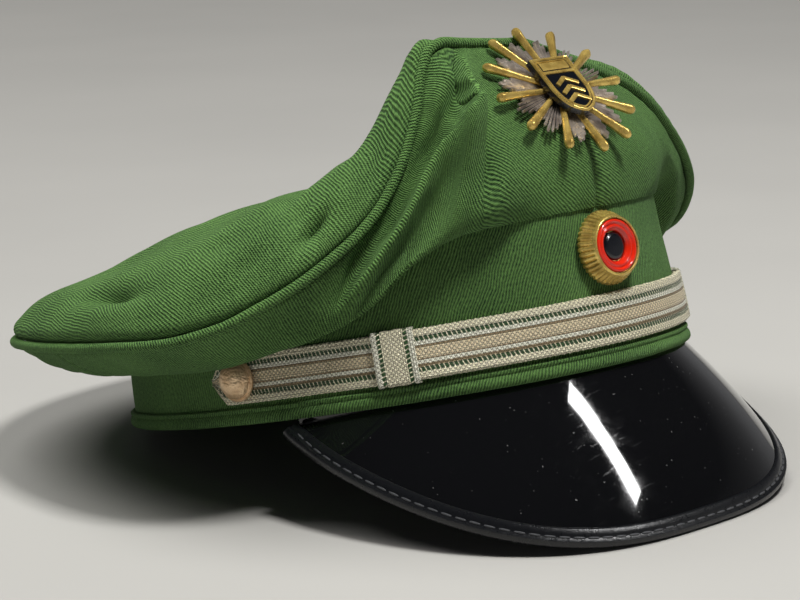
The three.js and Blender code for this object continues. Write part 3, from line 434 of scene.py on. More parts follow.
def ring_quads(n, m, closed=False):
    """The same for n closed rings of m points, where the material's grid has one column more."""
    quads, places = grid_quads(n, m + 1, closed)
    return quads // (m + 1) * m + quads % (m + 1) % m, places


def skin(name, rings, finish, uv=None, closed=True, weld=False, crease=45):
    """Closed body through rings of points. Each ring is a closed loop of its own. Where the rings
    don't come round to the first, flat faces close both ends."""
    n, m = rings.shape[:2]
    quads, places = ring_quads(n, m, closed)
    if not closed:
        k = np.arange(m // 2 - 1)
        for row, way in ((0, 1), (n - 1, -1)):
            cap = np.stack([k, k + 1, m - 2 - k, m - 1 - k], -1)[:, ::way]
            quads = np.concatenate([quads, cap + row * m])
            places = np.concatenate([places, cap + row * (m + 1)])
    corner = None if uv is None else uv.reshape(-1, 2)[places]
    return build(name, rings.reshape(-1, 3), quads, finish, corner, weld, crease)


def sheet_normals(points, closed, facing):
    """Normals of a grid of points, on the side that facing points to."""
    if closed:
        along = np.roll(points, -1, 0) - np.roll(points, 1, 0)
    else:
        along = np.gradient(points, axis=0)
    normal = unit(np.cross(along, np.gradient(points, axis=1)))
    if (normal * facing).sum() < 0:
        normal = -normal
    return normal


def shell(name, points, wall, finish, uv, closed, facing, weld=False):
    """Wall of cloth or leather round the grid of its middle points."""
    half = sheet_normals(points, closed, facing) * wall / 2
    rings = np.concatenate([points + half, (points - half)[:, ::-1]], 1)
    uv = np.concatenate([uv, uv[:, ::-1], uv[:, :1]], 1)
    return skin(name, rings, finish, uv, closed, weld)


def travel(points, axis):
    """Distance travelled along an axis of a grid of points."""
    step = np.linalg.norm(np.diff(points, axis=axis), axis=-1)
    start = np.zeros_like(np.take(step, [0], axis))
    return np.concatenate([start, np.cumsum(step, axis)], axis)


def at_run(place, run, line):
    """Points of a line at distances travelled along it."""
    return np.stack([np.interp(place, run, line[:, k]) for k in range(3)], -1)


def wrapped(points):
    """A closed grid with its first row repeated at the end."""
    return np.concatenate([points, points[:1]], 0)


def merged(name, parts, finish, weld=False):
    """One object from several closed bodies, each given by its points and faces."""
    offset, points, quads = 0, [], []
    for spots, faces in parts:
        points.append(spots)
        quads.append(outward(spots, faces) + offset)
        offset += len(spots)
    return build(name, np.concatenate(points), np.concatenate(quads), finish, None, weld)


# Finishes

def new_finish(name, **values):
    """A material, its node tree and its shader, with constant values on the shader's sockets."""
    made = bpy.data.materials.new(name)
    made.use_nodes = True
    tree = made.node_tree
    shader = tree.nodes["Principled BSDF"]
    for key, value in values.items():
        shader.inputs[key.replace("_", " ")].default_value = value
    return made, tree, shader


def feed(tree, socket, value):
    if isinstance(value, (int, float)):
        socket.default_value = value
    elif isinstance(value, tuple):
        socket.default_value = (*value, 1) if len(socket.default_value) == 4 else value
    else:
        tree.links.new(value, socket)


def wire(node, name, value):
    node.id_data.links.new(value, node.inputs[name])


def calc(tree, operation, *values):
    node = tree.nodes.new("ShaderNodeMath")
    node.operation = operation
    for socket, value in zip(node.inputs, values):
        feed(tree, socket, value)
    return node.outputs[0]


def mul_add(tree, value, factor, added):
    return calc(tree, "MULTIPLY_ADD", value, factor, added)


def blend(tree, amount, first, second):
    node = tree.nodes.new("ShaderNodeMix")
    node.data_type = "RGBA"
    feed(tree, node.inputs["Factor"], amount)
    feed(tree, node.inputs[6], first)
    feed(tree, node.inputs[7], second)
    return node.outputs[2]


def noise(tree, scale, detail=2.0, place=None, stretch=None):
    """Noise from 0 to 1, by place in metres or by a given place, stretched and turned if asked."""
    node = tree.nodes.new("ShaderNodeTexNoise")
    node.inputs["Scale"].default_value = scale
    node.inputs["Detail"].default_value = detail
    if place is None:
        place = tree.nodes.new("ShaderNodeTexCoord").outputs["Object"]
    if stretch is not None:
        mapping = tree.nodes.new("ShaderNodeMapping")
        mapping.inputs["Scale"].default_value = stretch
        mapping.inputs["Rotation"].default_value = (0, 0, 0.6)
        wire(mapping, "Vector", place)
        place = mapping.outputs[0]
    wire(node, "Vector", place)
    return node.outputs["Fac"]


def spread(tree, value, low, high, to_low=0.0, to_high=1.0):
    """Takes a range of a value to another range, and holds it there."""
    node = tree.nodes.new("ShaderNodeMapRange")
    for socket, given in zip(node.inputs, (value, low, high, to_low, to_high)):
        feed(tree, socket, given)
    return node.outputs[0]


def on_cloth(tree):
    """Place on the material in millimetres: to the right and up, as seen from outside."""
    node = tree.nodes.new("ShaderNodeUVMap")
    node.uv_map = "cloth"
    parts = tree.nodes.new("ShaderNodeSeparateXYZ")
    tree.links.new(node.outputs[0], parts.inputs[0])
    return node.outputs[0], parts.outputs[0], parts.outputs[1]


def bump(tree, shader, height, distance, strength=1.0):
    node = tree.nodes.new("ShaderNodeBump")
    node.inputs["Strength"].default_value = strength
    node.inputs["Distance"].default_value = distance
    wire(node, "Height", height)
    wire(shader, "Normal", node.outputs[0])


def wave(tree, place, pitch):
    """A wave from 0 to 1 along a place in millimetres."""
    turned = calc(tree, "MULTIPLY", place, 2 * math.pi / pitch)
    return mul_add(tree, calc(tree, "SINE", turned), 0.5, 0.5)


# Cloth colours at both ends of the tone. The dark end also serves as painted shade in the grooves between
# ribs.
CLOTH_LIGHT, CLOTH_DARK = (0.15, 0.295, 0.085), (0.006, 0.02, 0.01)
RIB_PITCH, RIB_WOBBLE, YARN_PITCH, YARN_SLANT = 0.88, 2.4, 0.7, 0.8


def twill(name, direction):
    """Gabardine: fine slanted ribs at a direction in degrees from the material's own right. Ribs,
    yarn and fuzz are mixed by their weights, first in the relief, then in the tone. The tone is
    darker in the grooves between ribs and yarns, which is painted shade."""
    made, tree, shader = new_finish(
        name, Roughness=0.92, Specular_IOR_Level=0.12, Sheen_Weight=0.18, Sheen_Roughness=0.4,
        Sheen_Tint=(0.35, 0.6, 0.3, 1),
    )
    place, right, up = on_cloth(tree)
    theta = math.radians(direction)
    wobble = mul_add(tree, noise(tree, 0.09, 3, place), RIB_WOBBLE, -RIB_WOBBLE / 2)
    across = calc(tree, "MULTIPLY", right, math.sin(theta))
    across = calc(tree, "ADD", mul_add(tree, up, -math.cos(theta), across), wobble)
    along = calc(tree, "MULTIPLY", right, math.cos(theta))
    along = mul_add(tree, up, math.sin(theta), along)
    rib = wave(tree, across, RIB_PITCH)
    yarn = wave(tree, mul_add(tree, across, YARN_SLANT, along), YARN_PITCH)
    fuzz = noise(tree, 1.1, 4, place)
    worn = noise(tree, 0.035, 4, place)
    height = mul_add(tree, yarn, 0.3, calc(tree, "MULTIPLY", rib, 0.8))
    height = mul_add(tree, fuzz, 0.9, height)
    # Tone: darker in the grooves between ribs and yarns as painted shade, with fuzz and wear varying it at
    # random.
    tone = mul_add(tree, rib, 0.55, calc(tree, "MULTIPLY", yarn, 0.14))
    tone = mul_add(tree, fuzz, 1.0, calc(tree, "SUBTRACT", tone, 0.33))
    tone = calc(tree, "ADD", tone, mul_add(tree, worn, 0.5, -0.25))
    wire(shader, "Base Color", blend(tree, spread(tree, tone, 0.05, 0.95), CLOTH_DARK, CLOTH_LIGHT))
    bump(tree, shader, height, 0.00045, 0.9)
    return made


def patent_finish():
    """Black patent leather, with faint scratches, specks and smears."""
    made, tree, shader = new_finish("patent", Coat_Weight=0.25, Coat_Roughness=0.03)
    scratch = spread(tree, noise(tree, 60, 2, None, (1, 22, 9)), 0.62, 0.72)
    specks = spread(tree, noise(tree, 900, 1), 0.76, 0.8)
    smear = noise(tree, 30, 4)
    dull = spread(tree, noise(tree, 160, 4), 0.5, 0.62)
    rough = mul_add(tree, smear, 0.05, 0.02)
    rough = mul_add(tree, dull, 0.03, rough)
    rough = mul_add(tree, scratch, 0.08, rough)
    wire(shader, "Roughness", mul_add(tree, specks, 0.5, rough))
    tint = blend(tree, calc(tree, "MULTIPLY", specks, 0.5), (0.004, 0.0042, 0.005), (0.2, 0.2, 0.2))
    wire(shader, "Base Color", tint)
    height = mul_add(tree, noise(tree, 45, 2), 1.0, calc(tree, "MULTIPLY", scratch, -0.03))
    bump(tree, shader, height, 0.00006)
    return made


def binding_finish():
    made, tree, shader = new_finish("binding", Base_Color=(0.006, 0.0065, 0.008, 1))
    grain = noise(tree, 700, 3)
    wire(shader, "Roughness", mul_add(tree, grain, 0.2, 0.2))
    bump(tree, shader, calc(tree, "ADD", grain, noise(tree, 120, 2)), 0.00012)
    return made


def thread_finish():
    made, tree, shader = new_finish(
        "thread", Roughness=0.5, Specular_IOR_Level=0.6, Base_Color=(0.05, 0.052, 0.058, 1)
    )
    bump(tree, shader, noise(tree, 2500, 2), 0.0001)
    return made


SILVER, PALE, BEIGE = (0.95, 0.88, 0.66), (0.98, 0.96, 0.8), (0.33, 0.25, 0.14)
GREEN_THREAD, WOVEN = (0.02, 0.075, 0.015), (0.84, 0.72, 0.5)


def stripes(tree, place, rows):
    """Colour by place across a braid, from rows of (end, colour)."""
    ramp = tree.nodes.new("ShaderNodeValToRGB")
    ramp.color_ramp.interpolation = "CONSTANT"
    steps = ramp.color_ramp.elements
    start, width = 0.0, rows[-1][0]
    for k, (end, colour) in enumerate(rows):
        step = steps[k] if k < 2 else steps.new(start / width)
        step.position = start / width
        step.color = (*colour, 1)
        start = end
    tree.links.new(calc(tree, "DIVIDE", place, width), ramp.inputs[0])
    return ramp.outputs[0]


# Stripes across the braid: end in millimetres, colour, and 1 where it is chequered with silver.
STRAP_STRIPES = [
    (2.3, SILVER, 0), (3.7, GREEN_THREAD, 1), (4.6, BEIGE, 0), (5.8, PALE, 0), (6.2, BEIGE, 0),
    (9.4, WOVEN, 0), (10.1, BEIGE, 0), (11.4, PALE, 0), (12.8, GREEN_THREAD, 1), (15, SILVER, 0),
]
SLIDER_STRIPES = [
    (1.6, PALE, 0), (2.9, GREEN_THREAD, 1), (9.8, SILVER, 0), (11.1, GREEN_THREAD, 1), (13.5, PALE, 0),
]
CHECK_PITCH, THREAD_PITCH, CORD_PITCH, WEAVE_PITCH = 1.38, 0.5, 0.6, 1.5


def braid(name, rows, swap=False):
    """Woven silver braid. Its stripes lie across the second place on the material, or the first."""
    made, tree, shader = new_finish(name, Roughness=0.4, Specular_IOR_Level=0.7)
    place, along, across = on_cloth(tree)
    if swap:
        along, across = across, along
    tone = stripes(tree, across, [(end, colour) for end, colour, _ in rows])
    checked = stripes(tree, across, [(end, (mark, mark, mark)) for end, _, mark in rows])
    leaning = mul_add(tree, across, 0.35, along)
    check = spread(tree, wave(tree, leaning, CHECK_PITCH), 0.1, 0.25)
    threads = wave(tree, mul_add(tree, noise(tree, 1.2, 2, place), 0.8, leaning), THREAD_PITCH)
    cords = wave(tree, across, CORD_PITCH)
    slanted = wave(tree, calc(tree, "ADD", along, across), WEAVE_PITCH)
    crossed = wave(tree, calc(tree, "SUBTRACT", along, across), WEAVE_PITCH)
    weave = calc(tree, "ADD", calc(tree, "MULTIPLY", slanted, crossed), calc(tree, "MULTIPLY", threads, 0.5))
    height = mul_add(tree, cords, 0.35, weave)
    height = mul_add(tree, noise(tree, 1.5, 3, place), 0.5, height)
    silver = calc(tree, "MULTIPLY", checked, calc(tree, "SUBTRACT", 1.0, check))
    tone = blend(tree, silver, tone, SILVER)
    # Colour scaled by the threads' relief: painted shade in the gaps between threads and painted highlight on
    # their crests.
    painted_thread_shading = spread(tree, height, 0.3, 1.25, 0.22, 1.2)
    scaled = tree.nodes.new("ShaderNodeVectorMath")
    scaled.operation = "SCALE"
    wire(scaled, 0, tone)
    wire(scaled, "Scale", painted_thread_shading)
    wire(shader, "Base Color", scaled.outputs[0])
    green = calc(tree, "MULTIPLY", checked, check)
    wire(shader, "Metallic", mul_add(tree, green, -0.4, 0.4))
    bump(tree, shader, height, 0.0003)
    return made


def metal(name, colour, dark, rough, plated=0.55, pebble=0.0):
    """Plated metal, darker in places, with a fine grain or pebbles."""
    made, tree, shader = new_finish(name, Metallic=plated)
    # Darker at random places, by noise.
    dark_mottle = spread(tree, noise(tree, 220, 4), 0.35, 0.7)
    wire(shader, "Base Color", blend(tree, dark_mottle, colour, dark))
    wire(shader, "Roughness", mul_add(tree, dark_mottle, 0.2, rough))
    if pebble:
        cells = tree.nodes.new("ShaderNodeTexVoronoi")
        cells.feature = "SMOOTH_F1"
        cells.inputs["Scale"].default_value = pebble
        wire(cells, "Vector", tree.nodes.new("ShaderNodeTexCoord").outputs["Object"])
        bump(tree, shader, calc(tree, "SUBTRACT", 1.0, cells.outputs["Distance"]), 0.0003)
    else:
        bump(tree, shader, noise(tree, 900, 2), 0.00004)
    return made


def enamel(name, colour, rough, coat):
    made, tree, shader = new_finish(name, Coat_Weight=coat, Coat_Roughness=0.08, Base_Color=(*colour, 1))
    wire(shader, "Roughness", mul_add(tree, noise(tree, 300, 3), 0.1, rough))
    bump(tree, shader, noise(tree, 500, 2), 0.00002)
    return made


cloth_top = twill("cloth_top", 66)
cloth_side = twill("cloth_side", 136)
cloth_band = twill("cloth_band", 63)
cloth_cord = twill("cloth_cord", 68)
patent = patent_finish()
binding = binding_finish()
thread = thread_finish()
strap_braid = braid("strap_braid", STRAP_STRIPES)
slider_braid = braid("slider_braid", SLIDER_STRIPES, swap=True)
gold = metal("gold", (0.95, 0.69, 0.2), (0.4, 0.26, 0.06), 0.18, plated=0.68)
pewter = metal("pewter", (0.66, 0.6, 0.54), (0.2, 0.165, 0.15), 0.24, plated=0.7)
# Near-black metal for the disc under the star: painted shade.
painted_shade_metal = metal("painted_shade_metal", (0.07, 0.06, 0.06), (0.03, 0.025, 0.025), 0.4)
copper = metal("copper", (0.88, 0.64, 0.4), (0.6, 0.38, 0.2), 0.3, pebble=1500.0)
red = enamel("red_enamel", (0.72, 0.022, 0.006), 0.12, 0.6)
black = enamel("black_enamel", (0.004, 0.005, 0.008), 0.15, 0.5)


def placed(piece, slot, *nodes):
    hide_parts(*nodes)


# Crown top, in millimetres: how far the cloth ends from the piping's middle, the puckers along the
# piping (pitch, drift of the pitch, reach, height), the rim beside it and the last tuck under it.
TOP_STEPS, TOP_END = 78, 1.1
PUCKER_PITCH, PUCKER_DRIFT, PUCKER_REACH, PUCKER_HEIGHT = 7.3, 31, 5, 0.13
RIM_AT, RIM_WIDE, RIM_HEIGHT = 4, 2.2, 0.5
TUCK_WIDE, TUCK_DEPTH = 1.5, 2.3

# Each meridian runs from the middle to the piping, denser towards its end.
angles = full_turn(480, -math.pi)
shares = np.sin(np.linspace(0, math.pi / 2, 500)) ** (2 / TOP_ROLL)
dense = top_point(angles[:, None], shares)
run = travel(dense, 1)
outer = slice(len(shares) // 2, None)
steps = np.linspace(0, 1, TOP_STEPS)
grid, left = [], []
for line, way, edge in zip(dense, run, crown_edge(angles)):
    off_edge = np.linalg.norm(line - edge, axis=-1)
    end = np.interp(-TOP_END, -off_edge[outer], way[outer])
    here = end * (1 - (1 - steps) ** 1.7)
    grid.append(at_run(here, way, line))
    left.append(end - here)
grid, left = np.array(grid), np.array(left)
facing = sheet_normals(grid, True, UP)
around = travel(wrapped(crown_edge(angles)[:, None]), 0)[:-1]
pucker = np.sin(around / PUCKER_PITCH * 2 * math.pi + 1.5 * np.sin(around / PUCKER_DRIFT))
pucker = pucker * bell(left / PUCKER_REACH) * PUCKER_HEIGHT
for at, away, wide, high, depth in ROLL_DENTS:
    near = bell((np.degrees(angles) - at) / wide)[:, None] * bell((left - away) / high)
    grid = grid - facing * (near * depth)[..., None]
facing = sheet_normals(grid, True, UP)
held = np.clip(left / 6, 0, 1)
soft = (uneven(grid, 46, 3) * 0.6 + uneven(grid, 19, 4) * 0.24) * held
soft = soft * np.clip(steps / 0.1, 0, 1)
rim = RIM_HEIGHT * bell((left - RIM_AT) / RIM_WIDE)
grid = grid + facing * (soft + pucker + rim)[..., None]
side_way = plan_normal(crown_plan, angles)
upright = np.clip(dot(facing[:, -14], side_way) * 1.4, 0, 1)
grid = grid - side_way[:, None] * (TUCK_DEPTH * upright * bell(left / TUCK_WIDE))[..., None]
lengths = travel(wrapped(grid), 1)
turns = np.append(angles, math.pi)[:, None]
uv = vec(-lengths * np.sin(turns), -lengths * np.cos(turns))
crown_top = shell("crown_top_cloth", grid, CLOTH_WALL, cloth_top, uv, True, UP, weld=True)
placed(crown_top, "cloth", "crown_top")

# Side panels: radius of the arc that their cloth is cut from, radius that measures the way round
# to a seam, and a point inside the cap that they face away from.
PANEL_CURVE, PANEL_ROUND = 188.0, 105
INSIDE = np.array([0, 0, 60.0])
# The cloth sinks into a groove along a seam and swells beside it. It sags from SAG_FROM degrees on,
# and turns in under the piping. It puckers near the piping and the band, over a share of its height.
GROOVE_DEPTH, GROOVE_WIDE, SWELL_HEIGHT, SWELL_AT, SWELL_WIDE = 0.75, 0.9, 0.12, 3.2, 1.6
SAG_FROM, SAG_OVER, SAG_DEPTH = 100, 15, 0.9
UNDER_DEPTH, UNDER_WIDE, EDGE = 2.5, 1.3, 0.08


def side_panel(node, start, stop, side, steps):
    """One side panel between two seams, drawn in along both, and tucked under the piping."""
    turns = np.radians(np.linspace(start, stop, steps + 1)) * side
    levels = np.linspace(0, 1, 97)
    points = side_point(turns[:, None], levels)
    out = sheet_normals(points, False, points - INSIDE)
    around = travel(points[:, 48:49], 0)
    seam = np.minimum(around, around[-1] - around)
    groove = SWELL_HEIGHT * bell((seam - SWELL_AT) / SWELL_WIDE) - GROOVE_DEPTH * bell(seam / GROOVE_WIDE)
    at_edges = bell((1 - levels) / 0.07) * 0.1 + bell(levels / EDGE) * 0.08
    pucker = np.sin(around / 8 * 2 * math.pi) * at_edges
    held = np.clip(levels / EDGE, 0, 1) * np.clip((1 - levels) / EDGE, 0, 1)
    soft = (uneven(points, 38, 5) * 0.45 + uneven(points, 15, 6) * 0.16) * held
    sag = np.clip((np.abs(np.degrees(turns))[:, None] - SAG_FROM) / SAG_OVER, 0, 1) * held
    soft = soft + sag * uneven(points, 24, 7) * SAG_DEPTH
    points = points + out * (groove + pucker + soft)[..., None]
    up = travel(points, 1)
    lean = np.radians(side_at(turns[:, None], 4))
    under = UNDER_DEPTH * np.sin(lean) * bell((up[:, -1:] - up) / UNDER_WIDE)
    points = points - plan_normal(crown_plan, turns)[:, None] * under[..., None]
    bend = (around + abs(turns[0]) * PANEL_ROUND) / PANEL_CURVE
    uv = vec(-side * (PANEL_CURVE + up) * np.sin(bend), (PANEL_CURVE + up) * np.cos(bend))
    piece = shell(f"{node}_cloth", points, CLOTH_WALL, cloth_side, uv, False, points - INSIDE)
    placed(piece, "cloth", node)


for side, word in SIDES:
    side_panel(f"side_front_{word}", 0, SIDE_SEAM, side, 330)
    side_panel(f"side_rear_{word}", SIDE_SEAM, 180, side, 150)


def cord_rings(path, out, radius, sides):
    """Rings of points round a closed path, whose side directions are given."""
    along = unit(np.roll(path, -1, 0) - np.roll(path, 1, 0))
    out = unit(out - along * dot(out, along))
    up = np.cross(out, along)
    turn = full_turn(sides)[:, None]
    return path[:, None] + (out[:, None] * np.cos(turn) + up[:, None] * np.sin(turn)) * radius


# Piping
angles = full_turn(720, -math.pi)
side_way = plan_normal(crown_plan, angles)
rings = cord_rings(crown_edge(angles) + side_way * PIPING_OUT, side_way, PIPING_RADIUS, 16)
rings = rings + uneven(rings, 9, 8)[..., None] * 0.05
length = travel(wrapped(crown_edge(angles)[:, None]), 0)
uv = vec(-length, np.linspace(0, 2 * math.pi * PIPING_RADIUS, 17))
placed(skin("crown_piping_cord", rings, cloth_cord, uv), "piping", "crown_piping")

# Band
angles = full_turn(360, -math.pi)
heights = np.linspace(1.2, BAND_HEIGHT, 25)
grid = off_band(angles[:, None], heights, -BAND_WALL / 2)
out = band_out(angles)[:, None]
grid = grid + out * (uneven(grid, 40, 9) * 0.2)[..., None]
around = travel(wrapped(off_band(angles, 0.0, 0.0)[:, None]), 0)
placed(shell("band_cloth", grid, BAND_WALL, cloth_band, vec(-around, heights), True, out), "cloth", "band")

# Lower welt: a ridge at its top, a groove, then a smooth roll. Places out of the band and heights.
profile = np.array([
    (-0.4, 5.1), (0.3, 5.35), (1.15, 5.3), (1.6, 4.9), (1.55, 4.35), (1.15, 4.0), (1.1, 3.7),
    (1.5, 3.2), (1.78, 2.5), (1.85, 1.8), (1.7, 1.0), (1.2, 0.35), (0.5, 0.05), (-0.6, 0.0),
    (-1.6, 0.1), (-2.0, 0.7), (-1.7, 1.5), (-0.4, 1.7),
])
rings = off_band(angles[:, None], profile[:, 1], profile[:, 0])
rings[..., 2] += uneven(rings, 30, 10) * 0.08
rings = above_floor(rings + out * (uneven(rings, 14, 11) * 0.08)[..., None])
depth = np.append(0, np.cumsum(np.linalg.norm(np.diff(wrapped(profile), axis=0), axis=1)))
placed(skin("lower_welt_cloth", rings, cloth_cord, vec(-around, -depth)), "piping", "lower_welt")

# Peak. Its root goes on a little further in, and up behind the band.
PEAK_IN, PEAK_RISES = 2.2, (5.0, 2.5, 0.4)
turns = np.linspace(-math.pi / 2, math.pi / 2, 181)
shares = np.linspace(0, 1, 60) ** 1.5 * peak_share(turns, 1.2)[:, None]
grid = peak_point(turns[:, None], shares)
inside = grid[:, :1] - band_out(turns * PEAK_END_ANGLE / 90)[:, None] * PEAK_IN
grid = np.concatenate([*(inside + UP * rise for rise in PEAK_RISES), grid], 1)
uv, peak_up = vec(travel(grid, 0), travel(grid, 1)), np.array([0, -0.5, 1.0])
placed(shell("peak_patent", grid, PEAK_WALL, patent, uv, False, peak_up), "patent", "peak")

# Binding: its section as distances before the peak's edge and off the peak's middle layer.
BEAD = np.radians(np.linspace(-72, 72, 13))
LIP = [
    (2.75, 1.42), (3.1, 1.45), (3.6, 1.62), (4.4, 1.66), (5.4, 1.6), (5.95, 1.45), (6.2, 1.15),
    (6.2, 0.9),
]
section = (
    [(before, -off) for before, off in reversed(LIP)]
    + [(BINDING_OUT * (1 - math.cos(a)), BINDING_OUT * math.sin(a)) for a in BEAD]
    + LIP
)


def spot(turn, before, off):
    share = peak_share(turn, before)
    return peak_point(turn, share) + peak_normal(turn, share) * off


turns = np.linspace(-math.pi / 2, math.pi / 2, 301)
rings = above_floor(np.stack([spot(turns, before, off) for before, off in section], 1))
placed(skin("peak_binding_leather", rings, binding, closed=False), "binding", "peak_binding")

# Stitches: their place on the binding's section, their pitch and size.
STITCH_BEFORE, STITCH_OFF, STITCH_PITCH = 2.85, 1.5, 4.4
STITCH_LENGTH, STITCH_WIDTH, STITCH_HEIGHT = 3.5, 0.8, 0.7


def stitch(centre, along, up):
    """Points and faces of a rounded stitch."""
    across = np.cross(up, along)
    t = np.linspace(0, math.pi, 7)[:, None, None]
    a = full_turn(8)[:, None]
    round_off = np.sin(t) ** 0.6 / 2
    points = (
        centre - along * np.cos(t) * STITCH_LENGTH / 2
        + across * round_off * np.cos(a) * STITCH_WIDTH + up * round_off * np.sin(a) * STITCH_HEIGHT
    )
    return points.reshape(-1, 3), ring_quads(7, 8)[0]


seam = spot(turns, STITCH_BEFORE, STITCH_OFF)
run = travel(seam[:, None], 0)[:, 0]
stitches = []
for middle in np.arange(4, run[-1] - 4, STITCH_PITCH):
    here, ahead = at_run(np.array([middle, middle + 0.5]), run, seam)
    normal = peak_normal(np.interp([middle], run, turns), np.array([0.95]))[0]
    stitches.append(stitch(here, unit(ahead - here), normal))
merged("peak_stitches", stitches, thread, weld=True)


# Chin strap and its upper layer. The strap lies STRAP_OFF from the band, and STRAP_RISE more where
# the sliders pass behind it.
STRAP_OFF, STRAP_RISE, UPPER_OFF = 0.3, 0.9, 1.1


def strap_lift(angle):
    half = SLIDER_WIDTH / BAND_WIDTH
    away = np.maximum(0, np.abs(np.abs(angle) - math.radians(SLIDER_ANGLE)) - half) / (2 * half)
    return STRAP_OFF + STRAP_RISE * np.where(away < 1, (1 - away * away) ** 2, 0)


STRAP_RELIEF = np.array([
    # place across from the lower edge, in millimetres, and thickness
    (0, 0.55), (0.4, 0.95), (1.1, 0.98), (1.3, 0.86), (1.6, 0.97), (2.2, 0.95), (2.45, 0.74), (3.0, 0.84),
    (3.6, 0.74), (4.0, 0.86), (4.6, 0.76), (5.2, 1.04), (5.8, 0.76), (6.2, 0.84), (7.8, 0.9), (9.4, 0.84),
    (10.1, 0.76), (10.75, 1.04), (11.4, 0.76), (12.1, 0.84), (12.7, 0.74), (13.0, 0.95), (13.7, 0.97),
    (13.9, 0.86), (14.3, 0.98), (14.7, 0.93), (15, 0.55),
])


def strap(name, end, lift, point, node):
    """A strap round the front of the band, flat or pointed at its ends."""
    turns = np.linspace(-math.radians(end), math.radians(end), 521)
    around = travel(off_band(turns, STRAP_LOW, 0.0)[:, None], 0)[:, 0]
    left = np.minimum(around, around[-1] - around)
    narrow = np.clip(left / point, 0.1, 1) ** 0.8 if point else np.ones_like(left)
    frayed = 1 + 0.012 * np.sin(around * 2.9) + 0.01 * np.sin(around * 7.1 + 1)
    across, thick = STRAP_RELIEF[:, 0], STRAP_RELIEF[:, 1]
    place = (across - STRAP_WIDTH / 2) * (narrow * frayed)[:, None]
    height = STRAP_LOW + STRAP_WIDTH / 2 + place + 0.12 * np.sin(around / 17)[:, None]
    off = lift(turns)[:, None]
    face = off_band(turns[:, None], height, off + thick)
    back = off_band(turns[:, None], height, off)[:, ::-1]
    uv = vec(-around[:, None], np.concatenate([across, across[::-1], across[:1]]))
    rings = np.concatenate([face, back], 1)
    placed(skin(name, rings, strap_braid, uv, closed=False, crease=60), "braid", node)


strap("chin_strap_braid", STRAP_END, strap_lift, STRAP_POINT, "chin_strap")
upper_end = SLIDER_ANGLE + math.degrees(SLIDER_WIDTH / BAND_LENGTH)
strap("chin_strap_upper_braid", upper_end, lambda a: strap_lift(a) + UPPER_OFF, 0, "chin_strap_upper")

# Sliders: loops round both layers, with a cord along each edge.
SLIDER_BACK, SLIDER_OUT, SLIDER_SWELL, SLIDER_MARGIN, SLIDER_ROUND = 0.4, 3.3, 0.12, 0.55, 0.9
SLIDER_CORD, CORD_AT, CORD_WIDE = 0.28, 0.8, 0.7
low, high = STRAP_LOW - SLIDER_MARGIN, STRAP_LOW + STRAP_WIDTH + SLIDER_MARGIN
corner = np.radians(np.linspace(0, 90, 6))
bend, front = SLIDER_ROUND * (1 - np.cos(corner)), np.linspace(0.05, 0.95, 15)
bulge = SLIDER_SWELL * np.sin(front * math.pi)
loop = np.concatenate([
    [(SLIDER_BACK, low)],
    vec(SLIDER_OUT - bend[::-1], low + bend),
    vec(SLIDER_OUT + bulge, low + SLIDER_ROUND + front * (high - low - 2 * SLIDER_ROUND)),
    vec(SLIDER_OUT - bend, high - bend[::-1]),
    [(SLIDER_BACK, high)],
])
across = np.linspace(0, SLIDER_WIDTH, 33)
edge = np.minimum(across, SLIDER_WIDTH - across)
cords = SLIDER_CORD * bell((edge - CORD_AT) / CORD_WIDE)[:, None]
frayed = 0.1 * np.sin(np.linspace(0, 20, 33))[:, None] * np.linspace(-1, 1, len(loop)) ** 6
frayed = frayed * np.sign(loop[:, 1] - STRAP_LOW - 7)
half = SLIDER_WIDTH / (BAND_LENGTH - 16)
for side, word in SIDES:
    turns = side * math.radians(SLIDER_ANGLE) + np.linspace(-half, half, 33)
    grid = off_band(turns[:, None], loop[:, 1], loop[:, 0] + cords)
    grid[..., 2] += frayed
    uv, out = vec(across[:, None], travel(grid, 1)), band_out(turns)[:, None]
    piece = shell(f"slider_{word}_braid", grid, SLIDER_WALL, slider_braid, uv, False, out)
    placed(piece, "braid", f"slider_{word}")


# Buttons and cockade
def on_band(angle, height, out):
    """Place on the band, and directions to the right, up and out of the cloth there."""
    angle = np.array(angle)
    normal = unit(band_out(angle, height) + UP * math.tan(BAND_TAPER))
    up = unit(UP - normal * normal[2])
    return off_band(angle, float(height), float(out)), np.array([np.cross(up, normal), up, normal])


def put(points, place):
    origin, axes = place
    return origin + points @ axes


def lathe(profile, steps, wavy=None):
    """Rings of points round the local third direction from (radius, height) points. A third value
    is the share of the waves that a point takes."""
    turn = full_turn(steps)[:, None]
    radius = profile[:, 0]
    if wavy is not None:
        radius = radius + wavy(turn) * profile[:, 2]
    return vec(radius * np.cos(turn), radius * np.sin(turn), profile[:, 1])


def smooth(profile, steps):
    """More points on a profile, along a smooth line through its own."""
    profile = np.array(profile, float)
    run = np.append(0, np.cumsum(np.linalg.norm(np.diff(profile[:, :2], axis=0), axis=1) + 1e-6))
    rows, fine = np.column_stack([run, profile]), np.linspace(0, run[-1], steps)
    return np.stack([column(rows, k + 1, fine) for k in range(profile.shape[1])], -1)


BUTTON_OFF, DOME_RADIUS, DOME_FOOT, DOME_RISE = 1.3, 5.9, 1.35, 3.65
dome = np.linspace(0.04, math.pi / 2, 14)
button = np.concatenate([
    [(0, 0), (6.0, 0), (6.6, 0.25), (6.8, 0.7), (6.7, 1.15), (6.35, 1.4), (6.05, 1.3)],
    vec(DOME_RADIUS * np.cos(dome), DOME_FOOT + DOME_RISE * np.sin(dome)),
])
for side, word in SIDES:
    place = on_band(side * math.radians(BUTTON_ANGLE), STRAP_LOW + STRAP_WIDTH / 2, BUTTON_OFF)
    rings = put(lathe(button, 72), place)
    placed(skin(f"button_{word}_dome", rings, copper, weld=True), "gold", f"button_{word}")

